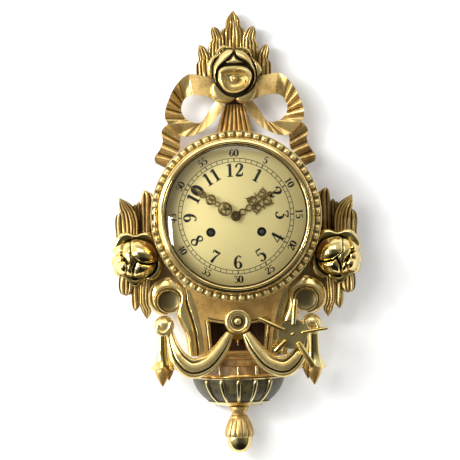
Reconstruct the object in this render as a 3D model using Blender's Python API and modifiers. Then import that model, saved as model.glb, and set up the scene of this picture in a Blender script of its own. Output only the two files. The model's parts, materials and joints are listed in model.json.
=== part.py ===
"""Giltwood wall clock with a bow and rose crest, side roses, swags and a half-round bowl.

Metres, +Z up, +X to the viewer's right. The wall is the plane Y = 0 and the clock stands out
of it towards -Y. The origin is the dial's centre projected onto the wall.
Inside the front frame (an empty) a point is (across, up, depth), depth counted from the wall.
"""
import math

import bmesh
import bpy
from mathutils import Vector

CLEARANCE = 0.0003

# Case
BACK_THICKNESS = 0.008
RING_OUTER_RADIUS = 0.114
RING_WIDTH = 0.019
RING_OVERHANG = 0.014
DRUM_WALL = 0.008
DRUM_LENGTH = 0.052
FRONT_THICKNESS = 0.008
FRONT_LAND = 0.016
RING_DEPTH = 0.014
BEAD_COUNT = 60
BEAD_HEIGHT = 0.004
BEAD_HALF_WIDTH = 0.004
BEAD_MARGIN = 0.001
TONGUE_HALF_WIDTH = 0.012
TONGUE_RISE = 0.098
HANGER_WIDTH = 0.030
HANGER_HEIGHT = 0.036
HANGER_THICKNESS = 0.002
KEYHOLE_RADIUS = 0.005
KEYHOLE_SLOT_RADIUS = 0.0025
KEYHOLE_LENGTH = 0.011

# Door, dial and hands
BEZEL_GAP = 0.0005
BEZEL_WIDTH = 0.010
BEZEL_DEPTH = 0.011
GLASS_LAND = 0.0035
GLASS_RISE = 0.015
GLASS_THICKNESS = 0.002
BEZEL_LIP = 0.003
HINGE_BARREL_RADIUS = 0.0022
HINGE_PIN_RADIUS = 0.0010
HINGE_KNUCKLE_LENGTH = 0.008
CATCH_LENGTH = 0.007
CATCH_RADIUS = 0.0022
DIAL_GAP = 0.0005
DIAL_THICKNESS = 0.001
DIAL_FOOT_RADIUS = 0.003
WINDING_HOLE_RADIUS = 0.0062
WINDING_ACROSS = 0.0339
WINDING_DROP = 0.0213
HAND_THICKNESS = 0.001
HAND_SPACING = 0.003
MINUTE_HAND_LENGTH = 0.077
HOUR_HAND_LENGTH = 0.0655
HAND_COLLET_RADIUS = 0.007
HAND_TIP_HALF_WIDTH = 0.0008
HOUR_PIPE_RADIUS = 0.0032
CANNON_PIPE_RADIUS = 0.0020
MINUTE_HAND_ANGLE = math.radians(-56.5)
HOUR_HAND_ANGLE = math.radians(58.0)

# Movement
PLATE_HALF_WIDTH = 0.060
PLATE_TOP = 0.052
PLATE_BOTTOM = -0.056
PLATE_THICKNESS = 0.002
PLATE_FRONT_DEPTH = 0.058
PLATE_GAP = 0.030
PILLAR_RADIUS = 0.0035
PILLAR_INSET = 0.007
GEAR_MODULE = 0.0005
GEAR_THICKNESS = 0.0016
CANNON_TEETH = 12
MINUTE_WHEEL_TEETH = 36
MINUTE_PINION_TEETH = 10
HOUR_WHEEL_TEETH = 40
ARBOR_RADIUS = 0.0014
ARBOR_CLEARANCE = 0.00005
BARREL_RADIUS = 0.024
BARREL_LENGTH = 0.018
GREAT_WHEEL_RADIUS = 0.028
WINDING_ARBOR_RADIUS = 0.003
WINDING_SQUARE = 0.0036
ESCAPE_RADIUS = 0.011
ESCAPE_TEETH = 32
ESCAPE_RISE = 0.018
ANCHOR_RISE = 0.035
ANCHOR_THICKNESS = 0.0016
PENDULUM_DEPTH = 0.016
PENDULUM_LENGTH = 0.190
PENDULUM_MARGIN = 0.0065
PENDULUM_ROD_RADIUS = 0.0012
PENDULUM_EYE_RADIUS = 0.0042
COCK_RADIUS = 0.002
COCK_OVERHANG = 0.004
BOB_RADIUS = 0.013
BOB_THICKNESS = 0.006
RATING_NUT_RADIUS = 0.003
RATING_NUT_LENGTH = 0.003
ROD_THREAD = 0.0075
BELL_RADIUS = 0.021
BELL_DEPTH = 0.011
BELL_WALL = 0.0012
BELL_MARGIN = 0.007
BELL_ANGLE = math.radians(141.3)
BELL_POST_RADIUS = 0.003
HAMMER_HEAD_RADIUS = 0.0035
HAMMER_GAP = 0.001
HAMMER_ARM = 0.028

# Crest
PLUME_TIP_RISE = 0.165
PLUME_HALF_WIDTH = 0.049
PLUME_THICKNESS = 0.008
ROSE_RISE = 0.0695
ROSE_RADIUS = 0.036
ROSE_CUP_RADIUS = 0.0235
ROSE_HEIGHT = 0.026
BOW_REACH = 0.094
RIBBON_WIDTH = 0.021
RIBBON_THICKNESS = 0.004
RIBBON_TILT = math.radians(32.0)
NECK_TOP_HALF_WIDTH = 0.0125
NECK_FOOT_HALF_WIDTH = 0.025
NECK_HEIGHT = 0.038
NECK_DEPTH = 0.014
NECK_LAP = 0.003
KNOT_HALF_WIDTH = 0.012
KNOT_HEIGHT = 0.024

# Sides
SIDE_ROSE_OUT = 0.021
SIDE_ROSE_DROP = 0.056
SIDE_ROSE_RADIUS = 0.034
SIDE_ROSE_TURN = math.radians(38.0)
SIDE_LEAF_THICKNESS = 0.004
SIDE_PLATE_DEPTH = 0.018

# Trunk, scrolls and swags
TRUNK_TOP_HALF_WIDTH = 0.046
TRUNK_FOOT_HALF_WIDTH = 0.040
TRUNK_DEPTH = 0.042
TRUNK_WALL = 0.005
WINDOW_TOP_HALF_WIDTH = 0.039
WINDOW_FOOT_HALF_WIDTH = 0.0335
WINDOW_TOP_RADIUS = 0.142
WINDOW_SILL = 0.003
SCROLL_INSET = 0.043
SCROLL_EYE_DROP = 0.1145
SCROLL_EYE_RADIUS = 0.0128
SCROLL_RIM_RADIUS = 0.0175
SCROLL_BAND_WIDTH = 0.020
SCROLL_DEPTH = 0.036
HOOK_OUT = 0.006
HOOK_DROP = 0.145
HOOK_RADIUS = 0.011
HOOK_DEPTH = 0.066
BOSS_DROP = 0.1403
BOSS_RADIUS = 0.0179
BOSS_HEIGHT = 0.020
SWAG_LOW_DROP = 0.203
SWAG_LOW_ACROSS = 0.062
SWAG_END_RADIUS = 0.0065
SWAG_MIDDLE_RADIUS = 0.0125
SWAG_DEPTH = 0.072
TASSEL_LENGTH = 0.072
TASSEL_RADIUS = 0.014

# Dado, bowl and finial
DADO_HEIGHT = 0.029
DADO_RADIUS = 0.052
DADO_LIP = 0.003
BOWL_RADIUS = 0.064
BOWL_FOOT_RADIUS = 0.031
BOWL_HEIGHT = 0.040
BOWL_ROD_RADIUS = 0.0026
BOWL_ROD_ANGLES = (-65, -43, -21, 0, 21, 43, 65)
FINIAL_DEPTH = 0.024
FINIAL_CUP_RADIUS = 0.0207
FINIAL_CUP_HEIGHT = 0.041
FINIAL_ACORN_RADIUS = 0.0176
FINIAL_ACORN_HEIGHT = 0.022

# Winding key
KEY_ACROSS = 0.0726
KEY_DROP = 0.1577
KEY_DISC_RADIUS = 0.020
KEY_DISC_THICKNESS = 0.003
KEY_REACH = 0.046
KEY_PRONG_RADIUS = 0.0035
KEY_PRONGS = 5
KEY_TURN = math.radians(86.0)

# Radii and places worked out from the sizes above
DRUM_RADIUS = RING_OUTER_RADIUS - RING_OVERHANG
FRONT_OPENING_RADIUS = DRUM_RADIUS - FRONT_LAND
RING_INNER_RADIUS = RING_OUTER_RADIUS - RING_WIDTH
BEAD_TRACK = RING_OUTER_RADIUS - BEAD_MARGIN - BEAD_HALF_WIDTH
BEZEL_OUTER_RADIUS = BEAD_TRACK - BEAD_HALF_WIDTH - BEZEL_GAP
BEZEL_INNER_RADIUS = BEZEL_OUTER_RADIUS - BEZEL_WIDTH
GLASS_RADIUS = BEZEL_INNER_RADIUS + GLASS_LAND
DIAL_RADIUS = RING_INNER_RADIUS - DIAL_GAP
BELL_REACH = DRUM_RADIUS - DRUM_WALL - BELL_RADIUS - BELL_MARGIN
BELL_ACROSS = BELL_REACH * math.cos(BELL_ANGLE)
BELL_RISE = BELL_REACH * math.sin(BELL_ANGLE)
DRUM_BACK = BACK_THICKNESS + CLEARANCE
DRUM_FACE = DRUM_BACK + DRUM_LENGTH
FRONT_BACK = DRUM_FACE + CLEARANCE
FRONT_FACE = FRONT_BACK + FRONT_THICKNESS
RING_BACK = FRONT_FACE + CLEARANCE
RING_FACE = RING_BACK + RING_DEPTH
DIAL_BACK = RING_BACK
DIAL_FACE = DIAL_BACK + DIAL_THICKNESS
BEZEL_BACK = RING_FACE + CLEARANCE
BEZEL_FACE = BEZEL_BACK + BEZEL_DEPTH
GLASS_SEAT = BEZEL_FACE - BEZEL_LIP - CLEARANCE
PLATE_BACK_FACE = PLATE_FRONT_DEPTH - PLATE_THICKNESS - PLATE_GAP
TRUNK_FACE = DRUM_BACK + TRUNK_DEPTH
SIDE_ACROSS = RING_OUTER_RADIUS + SIDE_ROSE_OUT
SCROLL_EYE_ACROSS = SIDE_ACROSS - SCROLL_INSET
HOOK_ACROSS = SCROLL_EYE_ACROSS + HOOK_OUT
ROD_LENGTH = PENDULUM_LENGTH + BOB_RADIUS + ROD_THREAD
TRUNK_FOOT_DROP = ROD_LENGTH - ANCHOR_RISE + PENDULUM_MARGIN + TRUNK_WALL
CREST_FOOT = RING_OUTER_RADIUS
ROSE_UP = CREST_FOOT + ROSE_RISE
DADO_TOP = -TRUNK_FOOT_DROP - CLEARANCE
DADO_FOOT = DADO_TOP - DADO_HEIGHT
BOWL_TOP = DADO_FOOT - CLEARANCE
BOWL_FOOT = BOWL_TOP - BOWL_HEIGHT
FINIAL_TOP = BOWL_FOOT - CLEARANCE
ACORN_TOP = FINIAL_TOP - FINIAL_CUP_HEIGHT - CLEARANCE
ROUND_STEPS = 40
UPRIGHT = (-math.pi / 2, 0.0, 0.0)
LEFT = -1
RIGHT = 1


def clear_scene():
    for old in list(bpy.data.objects):
        bpy.data.objects.remove(old, do_unlink=True)


def new_collection(name):
    made = bpy.data.collections.new(name)
    bpy.context.scene.collection.children.link(made)
    return made


def new_material(name, colour, roughness, metallic):
    made = bpy.data.materials.new(name)
    made.use_nodes = True
    shader = made.node_tree.nodes["Principled BSDF"]
    shader.inputs["Base Color"].default_value = (*colour, 1.0)
    shader.inputs["Roughness"].default_value = roughness
    shader.inputs["Metallic"].default_value = metallic
    return made


clear_scene()
CLOCK = new_collection("giltwood_wall_clock")
CUTTERS = new_collection("cutters")
FRONT = bpy.data.objects.new("front_frame", None)
FRONT.rotation_euler = (math.pi / 2, 0.0, 0.0)
CLOCK.objects.link(FRONT)

GILT_MATTE = new_material("matte_gilding", (0.62, 0.43, 0.19), 0.42, 0.9)
GILT_BRIGHT = new_material("burnished_gilding", (0.78, 0.57, 0.26), 0.2, 1.0)
BRASS = new_material("polished_brass", (0.80, 0.62, 0.28), 0.15, 1.0)
GLASS = new_material("clear_glass", (0.95, 0.97, 0.96), 0.03, 0.0)
CREAM = new_material("cream_dial", (0.80, 0.70, 0.36), 0.5, 0.0)
ANTIQUE = new_material("antique_brass", (0.30, 0.24, 0.12), 0.4, 0.9)
STEEL = new_material("bright_steel", (0.45, 0.46, 0.48), 0.3, 1.0)
IRON = new_material("black_iron", (0.05, 0.05, 0.05), 0.6, 0.6)
WOOD = new_material("bare_wood", (0.20, 0.11, 0.05), 0.7, 0.0)
OLIVE = new_material("mottled_olive", (0.09, 0.07, 0.025), 0.3, 0.4)
BRONZE = new_material("dark_bronze", (0.22, 0.15, 0.06), 0.35, 1.0)


def place(made, material, location=(0, 0, 0), rotation=(0, 0, 0), home=None):
    """Puts an object into the front frame with its one material."""
    made.data.materials.clear()
    made.data.materials.append(material)
    made.parent = FRONT
    made.location = location
    made.rotation_euler = rotation
    (home or CLOCK).objects.link(made)
    return made


def settled(made, home=None):
    """The same object as a plain mesh with its modifiers applied and its caps welded."""
    name = made.name
    bpy.context.view_layer.update()
    graph = bpy.context.evaluated_depsgraph_get()
    mesh = bpy.data.meshes.new_from_object(made.evaluated_get(graph))
    work = bmesh.new()
    work.from_mesh(mesh)
    bmesh.ops.remove_doubles(work, verts=work.verts, dist=1e-6)
    work.to_mesh(mesh)
    work.free()
    material, location, rotation = made.active_material, made.location[:], made.rotation_euler[:]
    bpy.data.objects.remove(made, do_unlink=True)
    fresh = bpy.data.objects.new(name, mesh)
    return place(fresh, material, location, rotation, home)


def combine(base, others, operation):
    """A Boolean of base with cutters, applied; base keeps its name and place."""
    if base.type != "MESH":
        base = settled(base)
    group = bpy.data.collections.new(base.name + "_" + operation.lower())
    CUTTERS.children.link(group)
    for number, other in enumerate(others):
        other.name = f"{group.name}_{number}"
        cutter = settled(other, group)
        cutter.hide_render = True
        cutter.display_type = "WIRE"
    boolean = base.modifiers.new(operation.title(), "BOOLEAN")
    boolean.operation = operation
    boolean.operand_type = "COLLECTION"
    boolean.collection = group
    made = settled(base)
    for cutter in list(group.objects):
        bpy.data.objects.remove(cutter, do_unlink=True)
    bpy.data.collections.remove(group)
    return made


def union(base, others):
    return combine(base, others, "UNION")


def cut(base, others):
    return combine(base, others, "DIFFERENCE")


def smooth(made, degrees=40):
    if made.type == "MESH":
        made.data.shade_smooth()
        made.data.set_sharp_from_angle(angle=math.radians(degrees))
    return made


def turned(name, profile, material, steps, location=(0, 0, 0), rotation=(0, 0, 0), ring=False):
    """A profile of (radius, height) points, top to bottom on the outside, turned about local Z."""
    edges = [(i, i + 1) for i in range(len(profile) - 1)]
    if ring:
        edges.append((len(profile) - 1, 0))
    mesh = bpy.data.meshes.new(name)
    mesh.from_pydata([(radius, 0, height) for radius, height in profile], edges, [])
    made = place(bpy.data.objects.new(name, mesh), material, location, rotation)
    screw = made.modifiers.new("Turning", "SCREW")
    screw.steps = steps
    screw.render_steps = steps
    screw.use_merge_vertices = True
    screw.merge_threshold = 1e-6
    return made


def disc(name, radius, low, high, material, steps=24, bore=0.0, location=(0, 0, 0), rotation=(0, 0, 0)):
    """A turned disc between two heights, with a bore where one is given."""
    if bore:
        profile = [(bore, high), (radius, high), (radius, low), (bore, low)]
    else:
        profile = [(0, high), (radius, high), (radius, low), (0, low)]
    return turned(name, profile, material, steps, location, rotation, ring=bool(bore))


def plate(name, loops, low, high, material, location=(0, 0, 0), rotation=(0, 0, 0)):
    """Closed outlines, holes among them, filled and given a thickness from low to high."""
    curve = bpy.data.curves.new(name, "CURVE")
    curve.dimensions = "2D"
    curve.fill_mode = "BOTH"
    curve.extrude = (high - low) / 2
    for loop in loops:
        spline = curve.splines.new("POLY")
        spline.points.add(len(loop) - 1)
        for point, (across, up) in zip(spline.points, loop):
            point.co = (across, up, 0, 1)
        spline.use_cyclic_u = True
    middle = Vector(location) + Vector((0, 0, (low + high) / 2))
    made = place(bpy.data.objects.new(name, curve), material, middle, rotation)
    return settled(made)


def block(name, low, high, material):
    """A box between two corners of the front frame."""
    mesh = bpy.data.meshes.new(name)
    work = bmesh.new()
    bmesh.ops.create_cube(work, size=1.0)
    size = Vector(high) - Vector(low)
    bmesh.ops.scale(work, vec=size, verts=work.verts)
    work.to_mesh(mesh)
    work.free()
    return place(bpy.data.objects.new(name, mesh), material, (Vector(low) + Vector(high)) / 2)


def rod(name, points, radius, material, radii=None, resolution=1):
    """A round bar along a list of points, its radius scaled at each point where radii are given."""
    curve = bpy.data.curves.new(name, "CURVE")
    curve.dimensions = "3D"
    curve.bevel_depth = radius
    curve.bevel_resolution = resolution
    curve.use_fill_caps = True
    spline = curve.splines.new("POLY")
    spline.points.add(len(points) - 1)
    for number, (point, place_at) in enumerate(zip(spline.points, points)):
        point.co = (*place_at, 1)
        point.radius = radii[number] if radii else 1.0
    return place(bpy.data.objects.new(name, curve), material)


def sheet(name, surface, across, along, thickness, material, location=(0, 0, 0), rotation=(0, 0, 0)):
    """An open surface given as a function of (u, v), thickened behind its face."""
    mesh = bpy.data.meshes.new(name)
    work = bmesh.new()
    bmesh.ops.create_grid(work, x_segments=across, y_segments=along, size=0.5)
    for vert in work.verts:
        vert.co = surface(vert.co.x + 0.5, vert.co.y + 0.5)
    work.to_mesh(mesh)
    work.free()
    made = place(bpy.data.objects.new(name, mesh), material, location, rotation)
    solidify = made.modifiers.new("Thickness", "SOLIDIFY")
    solidify.thickness = thickness
    solidify.offset = -1
    return made


def relief(name, surface, back, across, along, material):
    """A carved face given as a function of (u, v), solid down to a back depth given at (across, up)."""
    mesh = bpy.data.meshes.new(name)
    work = bmesh.new()
    bmesh.ops.create_grid(work, x_segments=across, y_segments=along, size=0.5)
    raised = bmesh.ops.extrude_face_region(work, geom=work.faces[:])
    lifted = {part for part in raised["geom"] if isinstance(part, bmesh.types.BMVert)}
    for vert in work.verts:
        front = surface(vert.co.x + 0.5, vert.co.y + 0.5)
        vert.co = front if vert in lifted else (front.x, front.y, back(front.x, front.y))
    bmesh.ops.recalc_face_normals(work, faces=work.faces[:])
    work.to_mesh(mesh)
    work.free()
    return place(bpy.data.objects.new(name, mesh), material)


def along_path(points, t):
    """A smooth curve through points of any dimension, read at t from 0 to 1."""
    spans = len(points) - 1
    place_on = min(max(t, 0.0), 1.0) * spans
    first = min(int(place_on), spans - 1)
    f = place_on - first
    before = points[max(first - 1, 0)]
    a, b = points[first], points[first + 1]
    after = points[min(first + 2, spans)]
    return tuple(
        0.5 * (2 * q + (r - p) * f + (2 * p - 5 * q + 4 * r - s) * f**2 + (3 * q - p - 3 * r + s) * f**3)
        for p, q, r, s in zip(before, a, b, after)
    )


def arc(radius, start, end, count, across=0.0, up=0.0):
    """Points on a circle from one angle to another, in degrees."""
    angles = [math.radians(start + (end - start) * i / (count - 1)) for i in range(count)]
    return [(across + radius * math.cos(a), up + radius * math.sin(a)) for a in angles]


def circle(radius, count, across=0.0, up=0.0):
    return arc(radius, 0, 360 - 360 / count, count, across, up)


def mirrored(points, side):
    """Right-hand points as they are, or turned over for the left with their order kept round."""
    flipped = [(side * p[0], *p[1:]) for p in points]
    return flipped if side == RIGHT else flipped[::-1]


def side_name(word, side):
    return f"{word}_{'left' if side == LEFT else 'right'}"


def bore_for(shaft_radius, sides):
    """A polygon bore's radius that clears a shaft at its flats."""
    return (shaft_radius + ARBOR_CLEARANCE) / math.cos(math.pi / sides)


def half_round(made, back):
    """Keeps only what stands in front of a depth."""
    reach = BOWL_RADIUS * 2
    low = BOWL_FOOT - reach
    behind = block("behind", (-reach, low, back - reach), (reach, 0, back), WOOD)
    return cut(settled(made), [behind])


# Case
def make_back_board():
    tongue_angle = math.degrees(math.acos(TONGUE_HALF_WIDTH / DRUM_RADIUS))
    trunk_angle = math.degrees(math.acos(TRUNK_TOP_HALF_WIDTH / DRUM_RADIUS))
    right = [(TONGUE_HALF_WIDTH, CREST_FOOT + TONGUE_RISE)]
    right += arc(DRUM_RADIUS, tongue_angle, -trunk_angle, 21)
    right += [(TRUNK_FOOT_HALF_WIDTH, -TRUNK_FOOT_DROP)]
    right += [(BOWL_FOOT_RADIUS, BOWL_FOOT)]
    left = [(-across, up) for across, up in reversed(right)]
    hang_up = DRUM_RADIUS - HANGER_HEIGHT
    recess = block(
        "hanger_recess",
        (-HANGER_WIDTH / 2 - CLEARANCE, hang_up - CLEARANCE, -BACK_THICKNESS),
        (HANGER_WIDTH / 2 + CLEARANCE, DRUM_RADIUS + CLEARANCE, HANGER_THICKNESS + 2 * CLEARANCE),
        WOOD,
    )
    pocket = disc("nail_pocket", KEYHOLE_RADIUS, -BACK_THICKNESS, BACK_THICKNESS * 0.8, WOOD, 16,
                  location=(0, hang_up + HANGER_HEIGHT / 2, 0))
    return cut(plate("back_board", [right + left], 0, BACK_THICKNESS, WOOD), [recess, pocket])


def make_hanger_plate():
    low = DRUM_RADIUS - HANGER_HEIGHT
    middle = low + HANGER_HEIGHT / 2
    half = HANGER_WIDTH / 2
    outline = [(-half, low), (half, low), (half, DRUM_RADIUS), (-half, DRUM_RADIUS)]
    half_slot = math.degrees(math.asin(KEYHOLE_SLOT_RADIUS / KEYHOLE_RADIUS))
    keyhole = arc(KEYHOLE_RADIUS, 90 + half_slot, 450 - half_slot, 17, 0, middle)
    keyhole += arc(KEYHOLE_SLOT_RADIUS, 0, 180, 7, 0, middle + KEYHOLE_LENGTH)
    return plate("hanger_plate", [outline, keyhole], CLEARANCE, CLEARANCE + HANGER_THICKNESS, IRON)


def make_case_drum():
    inner = DRUM_RADIUS - DRUM_WALL
    profile = [(inner, DRUM_FACE), (DRUM_RADIUS, DRUM_FACE), (DRUM_RADIUS, DRUM_BACK), (inner, DRUM_BACK)]
    made = turned("case_drum", profile, WOOD, ROUND_STEPS, ring=True)
    slot = block(
        "pendulum_slot",
        (-BOB_RADIUS * 1.5, -DRUM_RADIUS * 1.2, 0),
        (BOB_RADIUS * 1.5, -inner * 0.8, PENDULUM_DEPTH + BOB_THICKNESS * 2),
        WOOD,
    )
    return cut(settled(made), [slot])


def make_case_front():
    return disc("case_front", DRUM_RADIUS, FRONT_BACK, FRONT_FACE, WOOD, ROUND_STEPS, FRONT_OPENING_RADIUS)


def make_beaded_ring():
    foot = RING_FACE - BEAD_HEIGHT / 2
    crown = RING_FACE + BEAD_HEIGHT / 2
    profile = [
        (RING_INNER_RADIUS, RING_FACE),
        (BEAD_TRACK - BEAD_HALF_WIDTH, RING_FACE),
        (BEAD_TRACK, crown),
        (RING_OUTER_RADIUS, foot),
        (RING_OUTER_RADIUS - BEAD_HALF_WIDTH, RING_BACK),
        (RING_INNER_RADIUS, RING_BACK),
    ]
    made = settled(turned("beaded_ring", profile, GILT_BRIGHT, 2 * BEAD_COUNT, ring=True))
    for vert in made.data.vertices:
        if vert.co.z > RING_FACE + CLEARANCE:
            step = math.atan2(vert.co.y, vert.co.x) / math.pi * BEAD_COUNT
            if round(step) % 2:
                vert.co.z = foot
    return smooth(made)


# Door, dial and hands
HINGE_ACROSS = -(BEZEL_OUTER_RADIUS + HINGE_BARREL_RADIUS + 2 * CLEARANCE)
HINGE_DEPTH = RING_FACE + BEAD_HEIGHT / 2 + HINGE_BARREL_RADIUS + 2 * CLEARANCE


def knuckle(name, low, high):
    """One tube of the hinge barrel between two heights."""
    made = disc(name, HINGE_BARREL_RADIUS, low, high, BRASS, 12, bore_for(HINGE_PIN_RADIUS, 12),
                (HINGE_ACROSS, 0, HINGE_DEPTH), UPRIGHT)
    return settled(made)


def make_door_hinge():
    half = HINGE_KNUCKLE_LENGTH / 2
    foot = block(
        "foot",
        (HINGE_ACROSS - HINGE_BARREL_RADIUS * 2, -half, RING_FACE + BEAD_HEIGHT / 2 + CLEARANCE),
        (HINGE_ACROSS - HINGE_BARREL_RADIUS * 0.6, half, HINGE_DEPTH + HINGE_BARREL_RADIUS * 0.5),
        BRASS,
    )
    return union(knuckle("door_hinge", -half, half), [foot])


def make_hinge_pin():
    reach = HINGE_KNUCKLE_LENGTH * 1.5
    return disc("hinge_pin", HINGE_PIN_RADIUS, -reach, reach, STEEL, 12,
                location=(HINGE_ACROSS, 0, HINGE_DEPTH), rotation=UPRIGHT)


def make_door_bezel():
    seat = GLASS_RADIUS + CLEARANCE
    rounding = BEZEL_DEPTH * 0.3
    profile = [
        (BEZEL_INNER_RADIUS, BEZEL_FACE - BEZEL_LIP * 0.5),
        (BEZEL_INNER_RADIUS + rounding * 0.5, BEZEL_FACE),
        (BEZEL_OUTER_RADIUS - rounding, BEZEL_FACE),
        (BEZEL_OUTER_RADIUS, BEZEL_FACE - rounding),
        (BEZEL_OUTER_RADIUS, BEZEL_BACK),
        (seat, BEZEL_BACK),
        (seat, BEZEL_FACE - BEZEL_LIP),
        (BEZEL_INNER_RADIUS, BEZEL_FACE - BEZEL_LIP),
    ]
    made = settled(turned("door_bezel", profile, BRASS, 48, ring=True))
    half = HINGE_KNUCKLE_LENGTH / 2
    extras = []
    for sign in (-1, 1):
        low, high = sorted((sign * (half + CLEARANCE), sign * (half * 3 - CLEARANCE)))
        extras.append(knuckle("knuckle", low, high))
        extras.append(block(
            "lug",
            (HINGE_ACROSS + HINGE_BARREL_RADIUS * 0.6, low, HINGE_DEPTH - HINGE_BARREL_RADIUS * 0.7),
            (HINGE_ACROSS + HINGE_BARREL_RADIUS * 3, high, HINGE_DEPTH + HINGE_BARREL_RADIUS * 0.7),
            BRASS,
        ))
    return union(made, extras)


def make_door_glass():
    dome = BEZEL_INNER_RADIUS - 2 * CLEARANCE
    rings = 4
    outer = [(dome * i / rings, GLASS_SEAT + GLASS_RISE * (1 - (i / rings) ** 2)) for i in range(rings + 1)]
    inner = [(radius, height - GLASS_THICKNESS) for radius, height in reversed(outer)]
    rim = [(GLASS_RADIUS, GLASS_SEAT), (GLASS_RADIUS, GLASS_SEAT - GLASS_THICKNESS)]
    return turned("door_glass", outer + rim + inner, GLASS, 36)


def make_door_catch():
    profile = [
        (0, CATCH_LENGTH),
        (CATCH_RADIUS * 0.8, CATCH_LENGTH * 0.95),
        (CATCH_RADIUS, CATCH_LENGTH * 0.75),
        (CATCH_RADIUS * 0.5, CATCH_LENGTH * 0.5),
        (CATCH_RADIUS * 0.5, 0),
        (0, 0),
    ]
    return turned("door_catch", profile, ANTIQUE, 12,
                  (BEZEL_OUTER_RADIUS + CLEARANCE, 0, HINGE_DEPTH), (0, math.pi / 2, 0))


HOUR_HAND_BACK = DIAL_FACE + HAND_SPACING
MINUTE_HAND_BACK = HOUR_HAND_BACK + HAND_THICKNESS + HAND_SPACING
CANNON_PIPE_END = MINUTE_HAND_BACK + HAND_THICKNESS
PILLAR_ACROSS = PLATE_HALF_WIDTH - PILLAR_INSET
PILLAR_UPS = (PLATE_TOP - PILLAR_INSET, PLATE_BOTTOM + PILLAR_INSET)


def make_dial():
    holes = [circle(HOUR_PIPE_RADIUS + CLEARANCE, 16)]
    holes += [circle(WINDING_HOLE_RADIUS, 16, side * WINDING_ACROSS, -WINDING_DROP) for side in (LEFT, RIGHT)]
    made = plate("dial", [circle(DIAL_RADIUS, 48)] + holes, DIAL_BACK, DIAL_FACE, CREAM)
    feet = [
        disc("foot", DIAL_FOOT_RADIUS, PLATE_FRONT_DEPTH + CLEARANCE, DIAL_BACK + DIAL_THICKNESS / 2,
             CREAM, 8, location=(side * PILLAR_ACROSS, up, 0))
        for side in (LEFT, RIGHT) for up in PILLAR_UPS
    ]
    return union(made, feet)


def hand_outline(length, body_start, body_end, body_half_width):
    """Half-widths along a hand: collet, slim neck, pierced body and point, mirrored."""
    neck = HAND_TIP_HALF_WIDTH * 1.6
    collet = [(across, up) for across, up in arc(HAND_COLLET_RADIUS, -90, 78, 13)]
    waist = (body_start + body_end) / 2
    right = collet + [
        (neck, body_start),
        (body_half_width * 0.8, body_start * 0.7 + waist * 0.3),
        (body_half_width * 0.5, waist),
        (body_half_width, waist * 0.4 + body_end * 0.6),
        (neck, body_end),
        (HAND_TIP_HALF_WIDTH, length),
    ]
    return right + [(-across, up) for across, up in reversed(right[1:])]


def make_hand(name, length, body, back, pipe_radius, angle):
    """A pierced hand; body gives the start, end and half-width of its wide part as shares of its length."""
    start, end, half_width = (length * share for share in body)
    waist = (start + end) / 2
    openings = [circle(half_width * 0.42, 10, 0, start * 0.62 + waist * 0.38)]
    openings += [circle(half_width * 0.55, 10, 0, waist * 0.42 + end * 0.58)]
    loops = [hand_outline(length, start, end, half_width), circle(pipe_radius + CLEARANCE, 16)] + openings
    return plate(name, loops, 0, HAND_THICKNESS, ANTIQUE, (0, 0, back), (0, 0, -angle))


def make_hand_nut():
    radius = HAND_COLLET_RADIUS * 0.45
    height = HAND_COLLET_RADIUS * 0.4
    return disc("hand_nut", radius, 0, height, BRASS, 12, bore_for(ARBOR_RADIUS, 12),
                (0, 0, CANNON_PIPE_END + CLEARANCE))


# Movement
ARBOR_SIDES = 12
PLATE_BACK_REAR = PLATE_BACK_FACE - PLATE_THICKNESS
MOTION_BACK = PLATE_FRONT_DEPTH + 2 * CLEARANCE
HOUR_GEAR_BACK = MOTION_BACK + 2 * GEAR_THICKNESS
MINUTE_WHEEL_RISE = GEAR_MODULE * (CANNON_TEETH + MINUTE_WHEEL_TEETH) / 2
HOUR_MODULE = 2 * MINUTE_WHEEL_RISE / (MINUTE_PINION_TEETH + HOUR_WHEEL_TEETH)
HAMMER_ACROSS = BELL_ACROSS + BELL_RADIUS + HAMMER_GAP + HAMMER_HEAD_RADIUS
HAMMER_RISE = BELL_RISE - HAMMER_ARM
PLATE_PIVOTS = [
    (0.0, 0.0, ARBOR_RADIUS),
    (-WINDING_ACROSS, -WINDING_DROP, WINDING_ARBOR_RADIUS),
    (WINDING_ACROSS, -WINDING_DROP, WINDING_ARBOR_RADIUS),
    (0.0, ESCAPE_RISE, ARBOR_RADIUS),
    (0.0, ANCHOR_RISE, ARBOR_RADIUS),
]


def make_movement_plate(name, low, extra_pivots):
    outline = [
        (-PLATE_HALF_WIDTH, PLATE_BOTTOM),
        (PLATE_HALF_WIDTH, PLATE_BOTTOM),
        (PLATE_HALF_WIDTH, PLATE_TOP),
        (-PLATE_HALF_WIDTH, PLATE_TOP),
    ]
    holes = [
        circle(bore_for(radius, ARBOR_SIDES), ARBOR_SIDES, across, up)
        for across, up, radius in PLATE_PIVOTS + extra_pivots
    ]
    return plate(name, [outline] + holes, low, low + PLATE_THICKNESS, BRASS)


def make_pillar(name, across, up):
    return disc(name, PILLAR_RADIUS, PLATE_BACK_FACE + CLEARANCE,
                PLATE_FRONT_DEPTH - PLATE_THICKNESS - CLEARANCE, BRASS, 12, location=(across, up, 0))


def gear_outline(teeth, module, phase):
    """Straight-sided teeth, one of them centred on the phase angle."""
    points = []
    root = module * (teeth / 2 - 1.15)
    tip = module * (teeth / 2 + 0.8)
    pitch = 2 * math.pi / teeth
    for tooth in range(teeth):
        centre = phase + tooth * pitch
        for share, radius in ((-0.27, root), (0.0, tip), (0.27, root)):
            angle = centre + share * pitch
            points.append((radius * math.cos(angle), radius * math.sin(angle)))
    return points


def arbor(name, radius, low, high, across=0.0, up=0.0):
    return disc(name, radius, low, high, STEEL, ARBOR_SIDES, location=(across, up, 0))


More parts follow.
